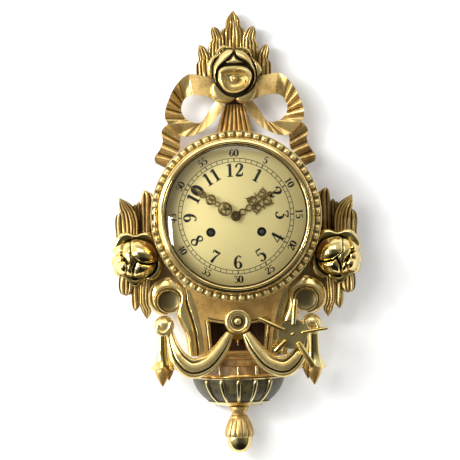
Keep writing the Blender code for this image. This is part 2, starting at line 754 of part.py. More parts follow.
def make_centre_arbor():
    profile = [
        (0, CANNON_PIPE_END + HAND_COLLET_RADIUS * 0.5),
        (ARBOR_RADIUS, CANNON_PIPE_END + HAND_COLLET_RADIUS * 0.5),
        (ARBOR_RADIUS, CANNON_PIPE_END),
        (CANNON_PIPE_RADIUS, CANNON_PIPE_END),
        (CANNON_PIPE_RADIUS, MOTION_BACK),
        (ARBOR_RADIUS, MOTION_BACK),
        (ARBOR_RADIUS, PLATE_BACK_REAR + CLEARANCE),
        (0, PLATE_BACK_REAR + CLEARANCE),
    ]
    made = turned("centre_arbor", profile, STEEL, ARBOR_SIDES)
    gear = plate("cannon_gear", [gear_outline(CANNON_TEETH, GEAR_MODULE, math.pi / 2)],
                 MOTION_BACK + CLEARANCE, MOTION_BACK + CLEARANCE + GEAR_THICKNESS, STEEL)
    return union(settled(made), [gear])


def make_minute_wheel():
    place_at = (0, MINUTE_WHEEL_RISE, 0)
    low = MOTION_BACK + CLEARANCE
    high = low + GEAR_THICKNESS
    top = HOUR_GEAR_BACK + 1.5 * GEAR_THICKNESS
    wheel = gear_outline(MINUTE_WHEEL_TEETH, GEAR_MODULE, -math.pi / 2 + math.pi / MINUTE_WHEEL_TEETH)
    pinion = gear_outline(MINUTE_PINION_TEETH, HOUR_MODULE, -math.pi / 2 + math.pi / MINUTE_PINION_TEETH)
    made = plate("minute_wheel", [wheel], low, high, BRASS, place_at)
    leaves = plate("pinion", [pinion], high - CLEARANCE, top, STEEL, place_at)
    pivot = arbor("pivot", ARBOR_RADIUS, PLATE_FRONT_DEPTH - PLATE_THICKNESS + CLEARANCE, high, 0,
                  MINUTE_WHEEL_RISE)
    return union(made, [leaves, pivot])


def make_hour_wheel():
    bore = bore_for(CANNON_PIPE_RADIUS, ARBOR_SIDES)
    middle = (bore + HOUR_PIPE_RADIUS) / 2
    wheel = gear_outline(HOUR_WHEEL_TEETH, HOUR_MODULE, math.pi / 2)
    made = plate("hour_wheel", [wheel, circle(middle, ARBOR_SIDES)], HOUR_GEAR_BACK,
                 HOUR_GEAR_BACK + GEAR_THICKNESS, BRASS)
    pipe = disc("pipe", HOUR_PIPE_RADIUS, HOUR_GEAR_BACK - CLEARANCE, HOUR_HAND_BACK + HAND_THICKNESS,
                BRASS, ARBOR_SIDES, bore)
    return union(made, [pipe])


def make_barrel(name, side):
    """Spring barrel with its great wheel, turning on the winding arbor."""
    bore = bore_for(WINDING_ARBOR_RADIUS, ARBOR_SIDES)
    low = PLATE_BACK_FACE + 3 * PLATE_THICKNESS
    rim = low + PLATE_THICKNESS
    high = low + BARREL_LENGTH
    profile = [
        (bore, high),
        (BARREL_RADIUS, high),
        (BARREL_RADIUS, rim),
        (GREAT_WHEEL_RADIUS, rim),
        (GREAT_WHEEL_RADIUS, low),
        (bore, low),
    ]
    return turned(name, profile, BRASS, 24, (side * WINDING_ACROSS, -WINDING_DROP, 0), ring=True)


def make_winding_arbor(name, side):
    low = PLATE_BACK_REAR + CLEARANCE
    high = PLATE_FRONT_DEPTH + PLATE_THICKNESS
    made = settled(arbor(name, WINDING_ARBOR_RADIUS, low, high, side * WINDING_ACROSS, -WINDING_DROP))
    half = WINDING_SQUARE / 2
    middle = Vector((side * WINDING_ACROSS, -WINDING_DROP, 0))
    square = block("square", middle + Vector((-half, -half, high - PLATE_THICKNESS / 2)),
                   middle + Vector((half, half, DIAL_BACK)), STEEL)
    return union(made, [square])


def make_escape_wheel():
    low = PLATE_BACK_FACE + PLATE_GAP * 0.7
    points = []
    for tooth in range(ESCAPE_TEETH):
        start = 2 * math.pi * tooth / ESCAPE_TEETH
        for share, radius in ((0.0, ESCAPE_RADIUS * 0.8), (0.35, ESCAPE_RADIUS), (0.42, ESCAPE_RADIUS * 0.8)):
            angle = start + share * 2 * math.pi / ESCAPE_TEETH
            points.append((radius * math.cos(angle), radius * math.sin(angle)))
    made = plate("escape_wheel", [points], low, low + GEAR_THICKNESS, BRASS, (0, ESCAPE_RISE, 0))
    shaft = arbor("shaft", ARBOR_RADIUS, PLATE_BACK_REAR + CLEARANCE,
                  PLATE_FRONT_DEPTH - CLEARANCE, 0, ESCAPE_RISE)
    return union(made, [shaft])


def make_pallet_anchor():
    """An arch over the escape wheel, its two pallets held off the teeth through the whole swing."""
    low = PLATE_BACK_FACE + PLATE_GAP * 0.7
    drop = ANCHOR_RISE - ESCAPE_RISE
    clear = ESCAPE_RADIUS + 6 * CLEARANCE
    reach = clear + ESCAPE_RADIUS * 0.25
    arch = arc(reach + ANCHOR_THICKNESS, 20, 160, 9, 0, -drop)
    arch += arc(clear, 160, 20, 9, 0, -drop)
    made = plate("pallet_anchor", [arch], low, low + ANCHOR_THICKNESS, STEEL, (0, ANCHOR_RISE, 0))
    shaft = arbor("shaft", ARBOR_RADIUS, PLATE_BACK_REAR + CLEARANCE,
                  PLATE_FRONT_DEPTH - CLEARANCE, 0, ANCHOR_RISE)
    half = ARBOR_RADIUS * 1.6
    stem = block("stem", (-half, ANCHOR_RISE - drop + clear + ANCHOR_THICKNESS / 2, low),
                 (half, ANCHOR_RISE + half, low + ANCHOR_THICKNESS), STEEL)
    return union(made, [stem, shaft])


COCK_END = PENDULUM_DEPTH - COCK_OVERHANG
BOB_UP = ANCHOR_RISE - PENDULUM_LENGTH
NUT_TOP = BOB_UP - BOB_RADIUS - CLEARANCE


def make_pendulum_cock():
    rear = PLATE_BACK_REAR - CLEARANCE
    profile = [
        (0, rear),
        (PENDULUM_EYE_RADIUS, rear),
        (PENDULUM_EYE_RADIUS, rear - PLATE_THICKNESS),
        (COCK_RADIUS, rear - PLATE_THICKNESS),
        (COCK_RADIUS, COCK_END),
        (0, COCK_END),
    ]
    return turned("pendulum_cock", profile, BRASS, ARBOR_SIDES, (0, ANCHOR_RISE, 0))


def make_pendulum_rod():
    half = PENDULUM_ROD_RADIUS
    bore = bore_for(COCK_RADIUS, ARBOR_SIDES)
    eye = disc("pendulum_rod", PENDULUM_EYE_RADIUS, -half, half, STEEL, ARBOR_SIDES, bore,
               (0, ANCHOR_RISE, PENDULUM_DEPTH))
    bar = disc("bar", PENDULUM_ROD_RADIUS * 0.9, -ROD_LENGTH, -PENDULUM_EYE_RADIUS * 0.75, STEEL, 12,
               location=(0, ANCHOR_RISE, PENDULUM_DEPTH), rotation=UPRIGHT)
    return union(settled(eye), [bar])


def make_pendulum_bob():
    half = BOB_THICKNESS / 2
    edge = PENDULUM_ROD_RADIUS * 1.7
    profile = [
        (0, half),
        (BOB_RADIUS * 0.7, half * 0.9),
        (BOB_RADIUS, edge),
        (BOB_RADIUS, -edge),
        (BOB_RADIUS * 0.7, -half * 0.9),
        (0, -half),
    ]
    made = turned("pendulum_bob", profile, BRASS, 20, (0, BOB_UP, PENDULUM_DEPTH))
    hole = disc("hole", bore_for(PENDULUM_ROD_RADIUS, 12), -BOB_RADIUS * 2, BOB_RADIUS * 2, STEEL, 12,
                location=(0, BOB_UP, PENDULUM_DEPTH), rotation=UPRIGHT)
    return cut(settled(made), [hole])


def make_rating_nut():
    return disc("rating_nut", RATING_NUT_RADIUS, -RATING_NUT_LENGTH, 0, BRASS, 12,
                bore_for(PENDULUM_ROD_RADIUS, 12), (0, NUT_TOP, PENDULUM_DEPTH), UPRIGHT)


BELL_CROWN = PLATE_BACK_REAR - BELL_DEPTH - 2 * PLATE_THICKNESS


def make_bell():
    inner = BELL_RADIUS - BELL_WALL
    mouth = BELL_CROWN + BELL_DEPTH
    profile = [
        (0, BELL_CROWN + BELL_WALL),
        (inner * 0.8, BELL_CROWN + BELL_WALL * 1.6),
        (inner, mouth),
        (BELL_RADIUS, mouth),
        (BELL_RADIUS * 0.85, BELL_CROWN + BELL_WALL * 0.6),
        (0, BELL_CROWN),
    ]
    return turned("bell", profile, BRASS, 20, (BELL_ACROSS, BELL_RISE, 0))


def make_bell_post():
    return disc("bell_post", BELL_POST_RADIUS, DRUM_BACK, BELL_CROWN - CLEARANCE, STEEL, 12,
                location=(BELL_ACROSS, BELL_RISE, 0))


def make_hammer():
    plane = BELL_CROWN + BELL_DEPTH - HAMMER_HEAD_RADIUS
    head = disc("hammer", HAMMER_HEAD_RADIUS, -HAMMER_HEAD_RADIUS, HAMMER_HEAD_RADIUS, STEEL, 12,
                location=(HAMMER_ACROSS, BELL_RISE, plane))
    arm = block("arm", (HAMMER_ACROSS - ARBOR_RADIUS, HAMMER_RISE, plane - ARBOR_RADIUS),
                (HAMMER_ACROSS + ARBOR_RADIUS, BELL_RISE, plane + ARBOR_RADIUS), STEEL)
    pivot = arbor("pivot", ARBOR_RADIUS, plane - 2 * ARBOR_RADIUS, PLATE_BACK_FACE - CLEARANCE,
                  HAMMER_ACROSS, HAMMER_RISE)
    hub = disc("hub", ARBOR_RADIUS * 2, plane - 1.5 * ARBOR_RADIUS, plane + 1.5 * ARBOR_RADIUS, STEEL, 12,
               location=(HAMMER_ACROSS, HAMMER_RISE, 0))
    return union(settled(head), [arm, hub, pivot])


# Carving
def leaf(name, root, tip, bend, half_width, depth, lean, back, material):
    """One carved leaf, fluted along its rib, from a root point to a tip, bowed sideways by bend."""
    root, tip = Vector(root), Vector(tip)
    run = tip - root
    sideways = Vector((run.y, -run.x)).normalized()
    middle = (root + tip) / 2 + sideways * bend

    def surface(u, v):
        spot = root * (1 - v) ** 2 + middle * 2 * v * (1 - v) + tip * v**2
        heading = (middle - root) * (1 - v) + (tip - middle) * v
        right = Vector((heading.y, -heading.x)).normalized()
        side = 2 * u - 1
        width = half_width * (0.06 + 0.94 * (1 - v**4)) * (0.75 + 0.25 * math.sin(math.pi * v))
        flute = 0.22 * half_width * math.cos(2.2 * math.pi * side) * (1 - v)
        face = depth + lean * v**2 + flute - 0.25 * half_width * side**2
        return Vector((*(spot + right * side * width), face))

    return relief(name, surface, back, 4, 6, material)


def ribbon(name, path, thickness, material, steps):
    """A band along a path of (across, up, depth, half width, tilt) points; tilt lifts its right edge."""

    def surface(u, v):
        across, up, depth, half_width, tilt = along_path(path, v)
        ahead, behind = along_path(path, v + 0.01), along_path(path, v - 0.01)
        heading = Vector((ahead[0] - behind[0], ahead[1] - behind[1])).normalized()
        offset = (2 * u - 1) * half_width
        level = offset * math.cos(tilt)
        return Vector((across + heading.y * level, up - heading.x * level, depth + offset * math.sin(tilt)))

    return sheet(name, surface, 2, steps, thickness, material)


def make_rose(name, radius, cup, height, petals, location, rotation, material):
    """Button, cup and outer petals as one turned body pressed into lobes."""
    profile = [
        (0, height * 0.98),
        (radius * 0.12, height * 0.94),
        (radius * 0.17, height * 0.76),
        (cup * 0.6, height * 0.72),
        (cup * 0.9, height),
        (cup, height * 0.94),
        (cup * 1.08, height * 0.42),
        (radius * 0.85, height * 0.5),
        (radius * 0.98, height * 0.66),
        (radius, height * 0.58),
        (radius * 0.78, height * 0.22),
        (radius * 0.34, 0),
        (0, 0),
    ]
    made = settled(turned(name, profile, material, petals * 6, location, rotation))
    for vert in made.data.vertices:
        angle = math.atan2(vert.co.y, vert.co.x)
        distance = math.hypot(vert.co.x, vert.co.y)
        outer = max(0.0, min(1.0, (distance - cup * 1.05) / (radius - cup * 1.05)))
        inner = max(0.0, 1 - abs(distance - cup * 0.9) / (cup * 0.35))
        scale = 1 - 0.10 * outer * abs(math.sin(petals * angle / 2)) ** 4
        vert.co.x *= scale
        vert.co.y *= scale
        if vert.co.z > height * 0.6:
            vert.co.z -= height * 0.10 * inner * abs(math.cos(petals * angle / 2)) ** 3
    return smooth(made, 50)


KNOT_LOW = CREST_FOOT + NECK_HEIGHT + CLEARANCE
KNOT_HIGH = KNOT_LOW + KNOT_HEIGHT
BOW_DEPTH = DRUM_BACK + NECK_DEPTH + RIBBON_WIDTH / 2 * math.sin(RIBBON_TILT) + RIBBON_THICKNESS
KNOT_FACE = BOW_DEPTH + RIBBON_THICKNESS / 2


def make_crest_plume():
    """Flame-like leaves in pairs round a tall middle one, all on one low block."""
    foot = KNOT_HIGH + 2 * CLEARANCE
    top = CREST_FOOT + PLUME_TIP_RISE
    face = DRUM_BACK + PLUME_THICKNESS
    rise = top - foot
    wide = PLUME_HALF_WIDTH

    def back(across, up):
        return DRUM_BACK + (up - foot) * 0.08

    pattern = [
        (0.53, 1.0, 0.35, 0.06, 0.25, 0.06),
        (0.41, 0.96, 0.54, 0.08, 0.29, 0.12),
        (0.25, 0.56, 0.77, 0.06, 0.31, 0.18),
    ]
    leaves = []
    for side in (LEFT, RIGHT):
        for root, tip, share, bow, half_width, lean in pattern:
            leaves.append(leaf(
                "leaf", (side * wide * root, foot), (side * wide * tip, foot + rise * share),
                -side * wide * bow, wide * half_width, face - wide * half_width * 0.1, wide * lean, back,
                GILT_MATTE,
            ))
    leaves.append(leaf(
        "leaf", (0, foot), (0, top), 0, wide * 0.33, face + wide * 0.04, wide * 0.24, back, GILT_MATTE,
    ))
    shoulder = foot + wide * 0.45
    outline = [(-0.61 * wide, foot), (0.61 * wide, foot), (0.7 * wide, shoulder), (-0.7 * wide, shoulder)]
    base = plate("crest_plume", [outline], DRUM_BACK, face - wide * 0.02, GILT_MATTE)
    return union(base, leaves)


def make_bow(side):
    reach = BOW_REACH - RIBBON_WIDTH * 0.42
    half = RIBBON_WIDTH / 2
    loop = [
        (0.09, 0.58, 0.6), (0.33, 0.73, 0.9), (0.63, 0.785, 1.0), (0.86, 0.65, 1.0), (1.0, 0.37, 1.0),
        (0.885, 0.13, 1.0), (0.615, 0.04, 0.9), (0.37, 0.23, 0.75), (0.115, 0.52, 0.55),
    ]
    path = [
        (reach * across, CREST_FOOT + reach * up, BOW_DEPTH, half * width, RIBBON_TILT)
        for across, up, width in loop
    ]
    name = side_name("bow", side)
    made = ribbon(name, mirrored(path, side), RIBBON_THICKNESS, GILT_MATTE, 30)
    tail = [
        (0.93, 0.185, 0.8, 0.4), (1.0, -0.045, 1.05, 0.2), (1.04, -0.235, 1.0, -0.2),
        (1.18, -0.455, 1.0, 0.3),
    ]
    tail_path = [
        (reach * across, CREST_FOOT + reach * up, BOW_DEPTH - half * 0.8, half * width, twist)
        for across, up, width, twist in tail
    ]
    hanging = ribbon("tail", mirrored(tail_path, side), RIBBON_THICKNESS, GILT_MATTE, 10)
    inner, outer = sorted((side * CLEARANCE / 2, side * KNOT_HALF_WIDTH))
    knot = block("knot", (inner, KNOT_LOW, DRUM_BACK), (outer, KNOT_HIGH, KNOT_FACE), GILT_MATTE)
    return union(settled(made), [hanging, knot])


def make_neck_pleats():
    """Gathered cloth, wider at its foot, with upright flutes."""
    pleats = 6
    low = CREST_FOOT - NECK_LAP
    high = CREST_FOOT + NECK_HEIGHT - CLEARANCE
    base = DRUM_BACK + NECK_DEPTH * 0.6

    def surface(u, v):
        half = NECK_FOOT_HALF_WIDTH + (NECK_TOP_HALF_WIDTH - NECK_FOOT_HALF_WIDTH) * v
        side = 2 * u - 1
        fold = NECK_DEPTH * 0.18 * math.cos(pleats * math.pi * side)
        return Vector((half * side, low + (high - low) * v, base + fold))

    return relief("neck_pleats", surface, lambda across, up: DRUM_BACK, pleats * 4, 3, GILT_MATTE)


def make_crest_rose():
    location = (0, ROSE_UP, KNOT_FACE + CLEARANCE)
    turn = (0, 0, math.pi / 10)
    return make_rose("crest_rose", ROSE_RADIUS, ROSE_CUP_RADIUS, ROSE_HEIGHT, 5, location, turn, GILT_MATTE)


SIDE_FACE = DRUM_BACK + DRUM_LENGTH / 2


def make_side_plume(side):
    """Upright leaves on a plate that is fixed to the drum behind the beaded ring."""
    gap = RING_OUTER_RADIUS

    def back(across, up):
        return SIDE_FACE - SIDE_LEAF_THICKNESS

    unit = SIDE_ROSE_RADIUS
    low = -SIDE_ROSE_DROP + unit * 0.18
    pattern = [
        (0.41, 0.26, 2.50, 0.06, 0.26, 0.12),
        (0.59, 0.53, 2.09, 0.03, 0.29, 0.21),
        (0.76, 1.26, 2.22, -0.24, 0.35, 0.12),
        (0.88, 1.41, 1.56, -0.18, 0.35, 0.24),
    ]
    leaves = [
        leaf("leaf", (side * (gap + unit * root), low), (side * (gap + unit * tip), low + unit * rise),
             side * unit * bow, unit * half_width, SIDE_FACE + SIDE_LEAF_THICKNESS, unit * lean, back,
             GILT_BRIGHT)
        for root, tip, rise, bow, half_width, lean in pattern
    ]
    inner = DRUM_RADIUS + CLEARANCE
    outer = SIDE_ACROSS
    ring = arc(outer, -38, -4, 9) + arc(inner, -4, -38, 9)
    outline = mirrored(ring, side)
    base = plate(side_name("side_plume", side), [outline], SIDE_FACE - SIDE_PLATE_DEPTH / 2,
                 SIDE_FACE + SIDE_LEAF_THICKNESS / 2, GILT_BRIGHT)
    stem = disc("stem", SIDE_ROSE_RADIUS * 0.3, -SIDE_PLATE_DEPTH, -CLEARANCE, GILT_BRIGHT, 16,
                location=(side * SIDE_ACROSS, -SIDE_ROSE_DROP, SIDE_FACE + SIDE_PLATE_DEPTH),
                rotation=(0, side * SIDE_ROSE_TURN, 0))
    return union(base, leaves + [stem])


def make_side_rose(side):
    location = (side * SIDE_ACROSS, -SIDE_ROSE_DROP, SIDE_FACE + SIDE_PLATE_DEPTH)
    return make_rose(side_name("side_rose", side), SIDE_ROSE_RADIUS, SIDE_ROSE_RADIUS * 0.65, ROSE_HEIGHT, 5,
                     location, (0, side * SIDE_ROSE_TURN, 0), GILT_BRIGHT)


def make_side_drop(side):
    """Leaves hanging below the side rose, in front of the scroll."""
    seat = DRUM_BACK + SCROLL_DEPTH + CLEARANCE
    face = seat + SIDE_LEAF_THICKNESS
    top = -SIDE_ROSE_DROP - SIDE_ROSE_RADIUS * 0.8

    def back(across, up):
        return seat

    unit = SIDE_ROSE_RADIUS
    pattern = [
        (0.12, -0.47, 1.58, 0.06, 0.29),
        (0.12, 0.09, 1.35, 0.03, 0.26),
        (0.18, 0.59, 0.70, -0.12, 0.24),
    ]
    leaves = [
        leaf("leaf", (side * (SIDE_ACROSS + unit * root), top),
             (side * (SIDE_ACROSS + unit * tip), top - unit * fall), side * unit * bow,
             unit * half_width, face, SIDE_LEAF_THICKNESS, back, GILT_BRIGHT)
        for root, tip, fall, bow, half_width in pattern
    ]
    half = SIDE_LEAF_THICKNESS * 2
    base = block(side_name("side_drop", side), (side * SIDE_ACROSS - half, top - half, seat),
                 (side * SIDE_ACROSS + half, top + half / 4, seat + SIDE_LEAF_THICKNESS * 0.8), GILT_BRIGHT)
    return union(base, leaves)


# Trunk, scrolls and swags
def make_trunk():
    """A box under the drum, open at the back, with the pendulum window in its face."""
    top = -DRUM_RADIUS * 0.8
    inset = TRUNK_WALL

    def trapezoid(shrink, upper, lower):
        wide, narrow = TRUNK_TOP_HALF_WIDTH - shrink, TRUNK_FOOT_HALF_WIDTH - shrink
        return [(-narrow, lower), (narrow, lower), (wide, upper), (-wide, upper)]

    made = plate("trunk", [trapezoid(0, top, -TRUNK_FOOT_DROP)], DRUM_BACK, TRUNK_FACE, GILT_BRIGHT)
    hollow = plate("hollow", [trapezoid(inset, top + inset, inset - TRUNK_FOOT_DROP)], 0,
                   TRUNK_FACE - TRUNK_WALL, WOOD)
    around = (DRUM_RADIUS + CLEARANCE) / math.cos(math.pi / ROUND_STEPS)
    drum = disc("drum", around, 0, TRUNK_FACE + TRUNK_WALL, WOOD, ROUND_STEPS)
    half_angle = math.degrees(math.asin(WINDOW_TOP_HALF_WIDTH / WINDOW_TOP_RADIUS))
    window_loop = arc(WINDOW_TOP_RADIUS, -90 - half_angle, -90 + half_angle, 9)
    sill = WINDOW_SILL - TRUNK_FOOT_DROP
    window_loop += [(WINDOW_FOOT_HALF_WIDTH, sill), (-WINDOW_FOOT_HALF_WIDTH, sill)]
    window = plate("window", [window_loop[::-1]], TRUNK_FACE - 2 * TRUNK_WALL, TRUNK_FACE + TRUNK_WALL, WOOD)
    return cut(made, [drum, hollow, window])


def make_scroll(side):
    """S-shaped console: it rises from the dado, curls over the volute and ends in a rolled hook."""
    half = SCROLL_BAND_WIDTH / 2
    eye, drop, rim = SCROLL_EYE_ACROSS, SCROLL_EYE_DROP, SCROLL_RIM_RADIUS
    face = DRUM_BACK + SCROLL_DEPTH
    foot = TRUNK_FOOT_HALF_WIDTH + half * 1.65
    rise = TRUNK_FOOT_DROP - drop
    path = [
        (foot, CLEARANCE - TRUNK_FOOT_DROP, half * 1.0),
        (foot + half * 0.35, -drop - rise * 0.628, half * 1.1),
        (foot + half * 0.95, -drop - rise * 0.241, half * 1.3),
        (eye - rim * 0.85, -drop + rim * 0.5, half * 0.9),
        (eye, -drop + rim * 0.9, half * 0.65),
        (eye + rim * 1.1, -drop + rim * 0.4, half * 0.65),
        (eye + rim * 1.2, -drop - rim * 0.35, half * 0.6),
        (eye + rim * 0.75, -drop - rim * 1.05, half * 0.5),
        (HOOK_ACROSS, HOOK_RADIUS * 0.5 - HOOK_DROP, half * 0.5),
    ]
    flat = [(across, up, face, width, 0.0) for across, up, width in path]
    name = side_name("scroll", side)
    made = ribbon(name, mirrored(flat, side), SCROLL_DEPTH, GILT_BRIGHT, 22)
    middle = (side * eye, -drop, 0)
    volute = disc("volute", SCROLL_EYE_RADIUS, DRUM_BACK, face + SCROLL_EYE_RADIUS * 0.3, GILT_BRIGHT, 20,
                  location=middle)
    hook = disc("hook", HOOK_RADIUS, DRUM_BACK, DRUM_BACK + HOOK_DEPTH, GILT_BRIGHT, 20,
                location=(side * HOOK_ACROSS, -HOOK_DROP, 0))
    return union(settled(made), [volute, hook])


def make_centre_boss():
    low = TRUNK_FACE + CLEARANCE
    high = low + BOSS_HEIGHT
    profile = [
        (0, high - BOSS_HEIGHT * 0.1),
        (BOSS_RADIUS * 0.28, high - BOSS_HEIGHT * 0.15),
        (BOSS_RADIUS * 0.36, high - BOSS_HEIGHT * 0.3),
        (BOSS_RADIUS * 0.62, high - BOSS_HEIGHT * 0.2),
        (BOSS_RADIUS * 0.8, high),
        (BOSS_RADIUS, high - BOSS_HEIGHT * 0.25),
        (BOSS_RADIUS, low),
        (0, low),
    ]
    return smooth(settled(turned("centre_boss", profile, GILT_BRIGHT, 24, (0, -BOSS_DROP, 0))))


def swag_path():
    """Right-hand swag: it leaves the boss, sags and climbs to the underside of the hook."""
    boss_angle = math.radians(-55)
    leave = BOSS_RADIUS + 2 * CLEARANCE
    start = (leave * math.cos(boss_angle), -BOSS_DROP + leave * math.sin(boss_angle))
    hook_angle = math.radians(-113)
    arrive = HOOK_RADIUS + 2 * CLEARANCE
    end = (HOOK_ACROSS + arrive * math.cos(hook_angle), -HOOK_DROP + arrive * math.sin(hook_angle))
    low = (SWAG_LOW_ACROSS, -SWAG_LOW_DROP)

    def between(first, across_share, up_share):
        return tuple(a + (b - a) * share for a, b, share in zip(first, low, (across_share, up_share)))

    falling = [between(start, 0.21, 0.41), between(start, 0.57, 0.835)]
    return [start, *falling, low, between(end, 0.45, 0.665), end]


def swag_spots():
    """Points along the right-hand swag with the cloth's radius at each."""
    shares = (0.0, 0.35, 0.8, 1.0, 0.5, 0.0)
    path = [
        (across, up, SWAG_END_RADIUS + (SWAG_MIDDLE_RADIUS - SWAG_END_RADIUS) * share)
        for (across, up), share in zip(swag_path(), shares)
    ]
    count = 18
    return [along_path(path, i / (count - 1)) for i in range(count)]


def make_swag(side):
    spots = swag_spots()
    points = [(side * across, up, SWAG_DEPTH) for across, up, radius in spots]
    radii = [radius / SWAG_MIDDLE_RADIUS for across, up, radius in spots]
    name = side_name("swag", side)
    return settled(rod(name, points, SWAG_MIDDLE_RADIUS, GILT_BRIGHT, radii, 2))


def make_tassel(side):
    """Bell flower with a pointed bud, hanging under the hook."""
    flutes = 6
    top = -HOOK_DROP - HOOK_RADIUS - CLEARANCE
    profile = [
        (0, 0),
        (TASSEL_RADIUS * 0.33, 0),
        (TASSEL_RADIUS * 0.42, -TASSEL_LENGTH * 0.2),
        (TASSEL_RADIUS * 0.75, -TASSEL_LENGTH * 0.45),
        (TASSEL_RADIUS, -TASSEL_LENGTH * 0.62),
        (TASSEL_RADIUS * 0.7, -TASSEL_LENGTH * 0.68),
        (TASSEL_RADIUS * 0.62, -TASSEL_LENGTH * 0.8),
        (TASSEL_RADIUS * 0.3, -TASSEL_LENGTH * 0.92),
        (0, -TASSEL_LENGTH),
    ]
    place_at = (side * (HOOK_ACROSS + TASSEL_RADIUS * 0.25), top, DRUM_BACK + HOOK_DEPTH / 2)
    made = settled(turned(side_name("tassel", side), profile, GILT_BRIGHT, flutes * 4, place_at, UPRIGHT))
    for vert in made.data.vertices:
        angle = math.atan2(vert.co.y, vert.co.x)
        share = max(0.0, min(1.0, -vert.co.z / (TASSEL_LENGTH * 0.62)))
        if vert.co.z > -TASSEL_LENGTH * 0.65:
            press = 1 - 0.08 * share * (1 - math.cos(flutes * angle))
            vert.co.x *= press
            vert.co.y *= press
    return smooth(made)


# Dado, bowl and finial
def wall_turned(name, profile, material, steps, up):
    """A turned shape about an upright axis on the back board's face."""
    return turned(name, profile, material, steps, (0, up, DRUM_BACK), UPRIGHT)


def make_dado():
    lip = DADO_RADIUS + DADO_LIP
    profile = [
        (0, 0),
        (lip, 0),
        (lip, -DADO_LIP),
        (DADO_RADIUS, -2 * DADO_LIP),
        (DADO_RADIUS, -DADO_HEIGHT + DADO_LIP),
        (lip, -DADO_HEIGHT + DADO_LIP * 0.5),
        (lip, -DADO_HEIGHT),
        (0, -DADO_HEIGHT),
    ]
    return half_round(wall_turned("dado", profile, GILT_BRIGHT, 40, DADO_TOP), DRUM_BACK)


def bowl_side(share):
    """Radius of the bowl's side from its top (0) to its foot (1), a quarter ellipse."""
    return BOWL_FOOT_RADIUS + (BOWL_RADIUS - BOWL_FOOT_RADIUS) * math.sqrt(1 - share**2)


def make_bowl():
    rings = 6
    side = [(bowl_side(i / rings), -BOWL_HEIGHT * i / rings) for i in range(rings + 1)]
    profile = [(0, 0)] + side + [(0, -BOWL_HEIGHT)]
    made = half_round(wall_turned("bowl", profile, OLIVE, 40, BOWL_TOP), DRUM_BACK)
    rods = []
    for degrees in BOWL_ROD_ANGLES:
        angle = math.radians(degrees)
        points = []
        for step in range(1, 6):
            share = 0.05 + 0.16 * step
            radius = bowl_side(share)
            points.append((radius * math.sin(angle), BOWL_TOP - BOWL_HEIGHT * share,
                           DRUM_BACK + radius * math.cos(angle)))
        rods.append(rod("rod", points, BOWL_ROD_RADIUS, GILT_BRIGHT))
    return union(made, rods)


def make_finial_cup():
    height = FINIAL_CUP_HEIGHT
    wide = FINIAL_CUP_RADIUS
    profile = [
        (0, 0),
        (wide * 0.62, 0),
        (wide * 0.65, -height * 0.06),
        (wide * 0.62, -height * 0.12),
        (wide * 0.45, -height * 0.26),
        (wide * 0.59, -height * 0.34),
        (wide * 0.8, -height * 0.55),
        (wide * 0.97, -height * 0.75),
        (wide, -height * 0.86),
        (wide * 0.9, -height),
        (0, -height),
    ]
    place_at = (0, FINIAL_TOP, FINIAL_DEPTH)
    return smooth(settled(turned("finial_cup", profile, GILT_BRIGHT, 20, place_at, UPRIGHT)))


def make_finial_acorn():
    rings = 5
    profile = [(0, 0)]
    for i in range(rings):
        turn = math.pi / 2 * i / rings
        profile.append((FINIAL_ACORN_RADIUS * math.cos(turn), -FINIAL_ACORN_HEIGHT * math.sin(turn) ** 1.3))
    profile.append((0, -FINIAL_ACORN_HEIGHT))
    place_at = (0, ACORN_TOP, FINIAL_DEPTH)
    return smooth(settled(turned("finial_acorn", profile, GILT_BRIGHT, 20, place_at, UPRIGHT)))


# Winding key
EIGHT_SIDED = (1 + math.cos(math.pi / 8)) / 2


def key_seat_depth():
    """The depth at which the lowest prong just rests on the front of the right-hand swag."""
    deepest = 0.0
    for number in range(KEY_PRONGS):
        angle = KEY_TURN + 2 * math.pi * number / KEY_PRONGS
        for step in range(20):
            reach = KEY_DISC_RADIUS + (KEY_REACH - KEY_DISC_RADIUS) * step / 19
            across = KEY_ACROSS + reach * math.cos(angle)
            up = -KEY_DROP + reach * math.sin(angle)
            for swag_across, swag_up, radius in swag_spots():
                apart = math.hypot(across - swag_across, up - swag_up)
                touch = (radius + KEY_PRONG_RADIUS) * EIGHT_SIDED
                if apart < touch:
                    deepest = max(deepest, math.sqrt(touch**2 - apart**2))
    return SWAG_DEPTH + deepest + CLEARANCE


def make_winding_key():
    """A star key of tube prongs round a disc, hung in front of the right-hand swag."""
    middle = Vector((KEY_ACROSS, -KEY_DROP, key_seat_depth()))
    half = KEY_DISC_THICKNESS / 2
    prongs = []
    for number in range(KEY_PRONGS):
        angle = KEY_TURN + 2 * math.pi * number / KEY_PRONGS
        outward = Vector((math.cos(angle), math.sin(angle), 0))
        ends = [middle + outward * KEY_DISC_RADIUS * 0.5, middle + outward * KEY_REACH]
        prongs.append(rod("prong", [tuple(end) for end in ends], KEY_PRONG_RADIUS, BRASS, resolution=2))
    made = disc("winding_key", KEY_DISC_RADIUS, -half, half, BRONZE, 32, location=middle)
    return union(settled(made), prongs)


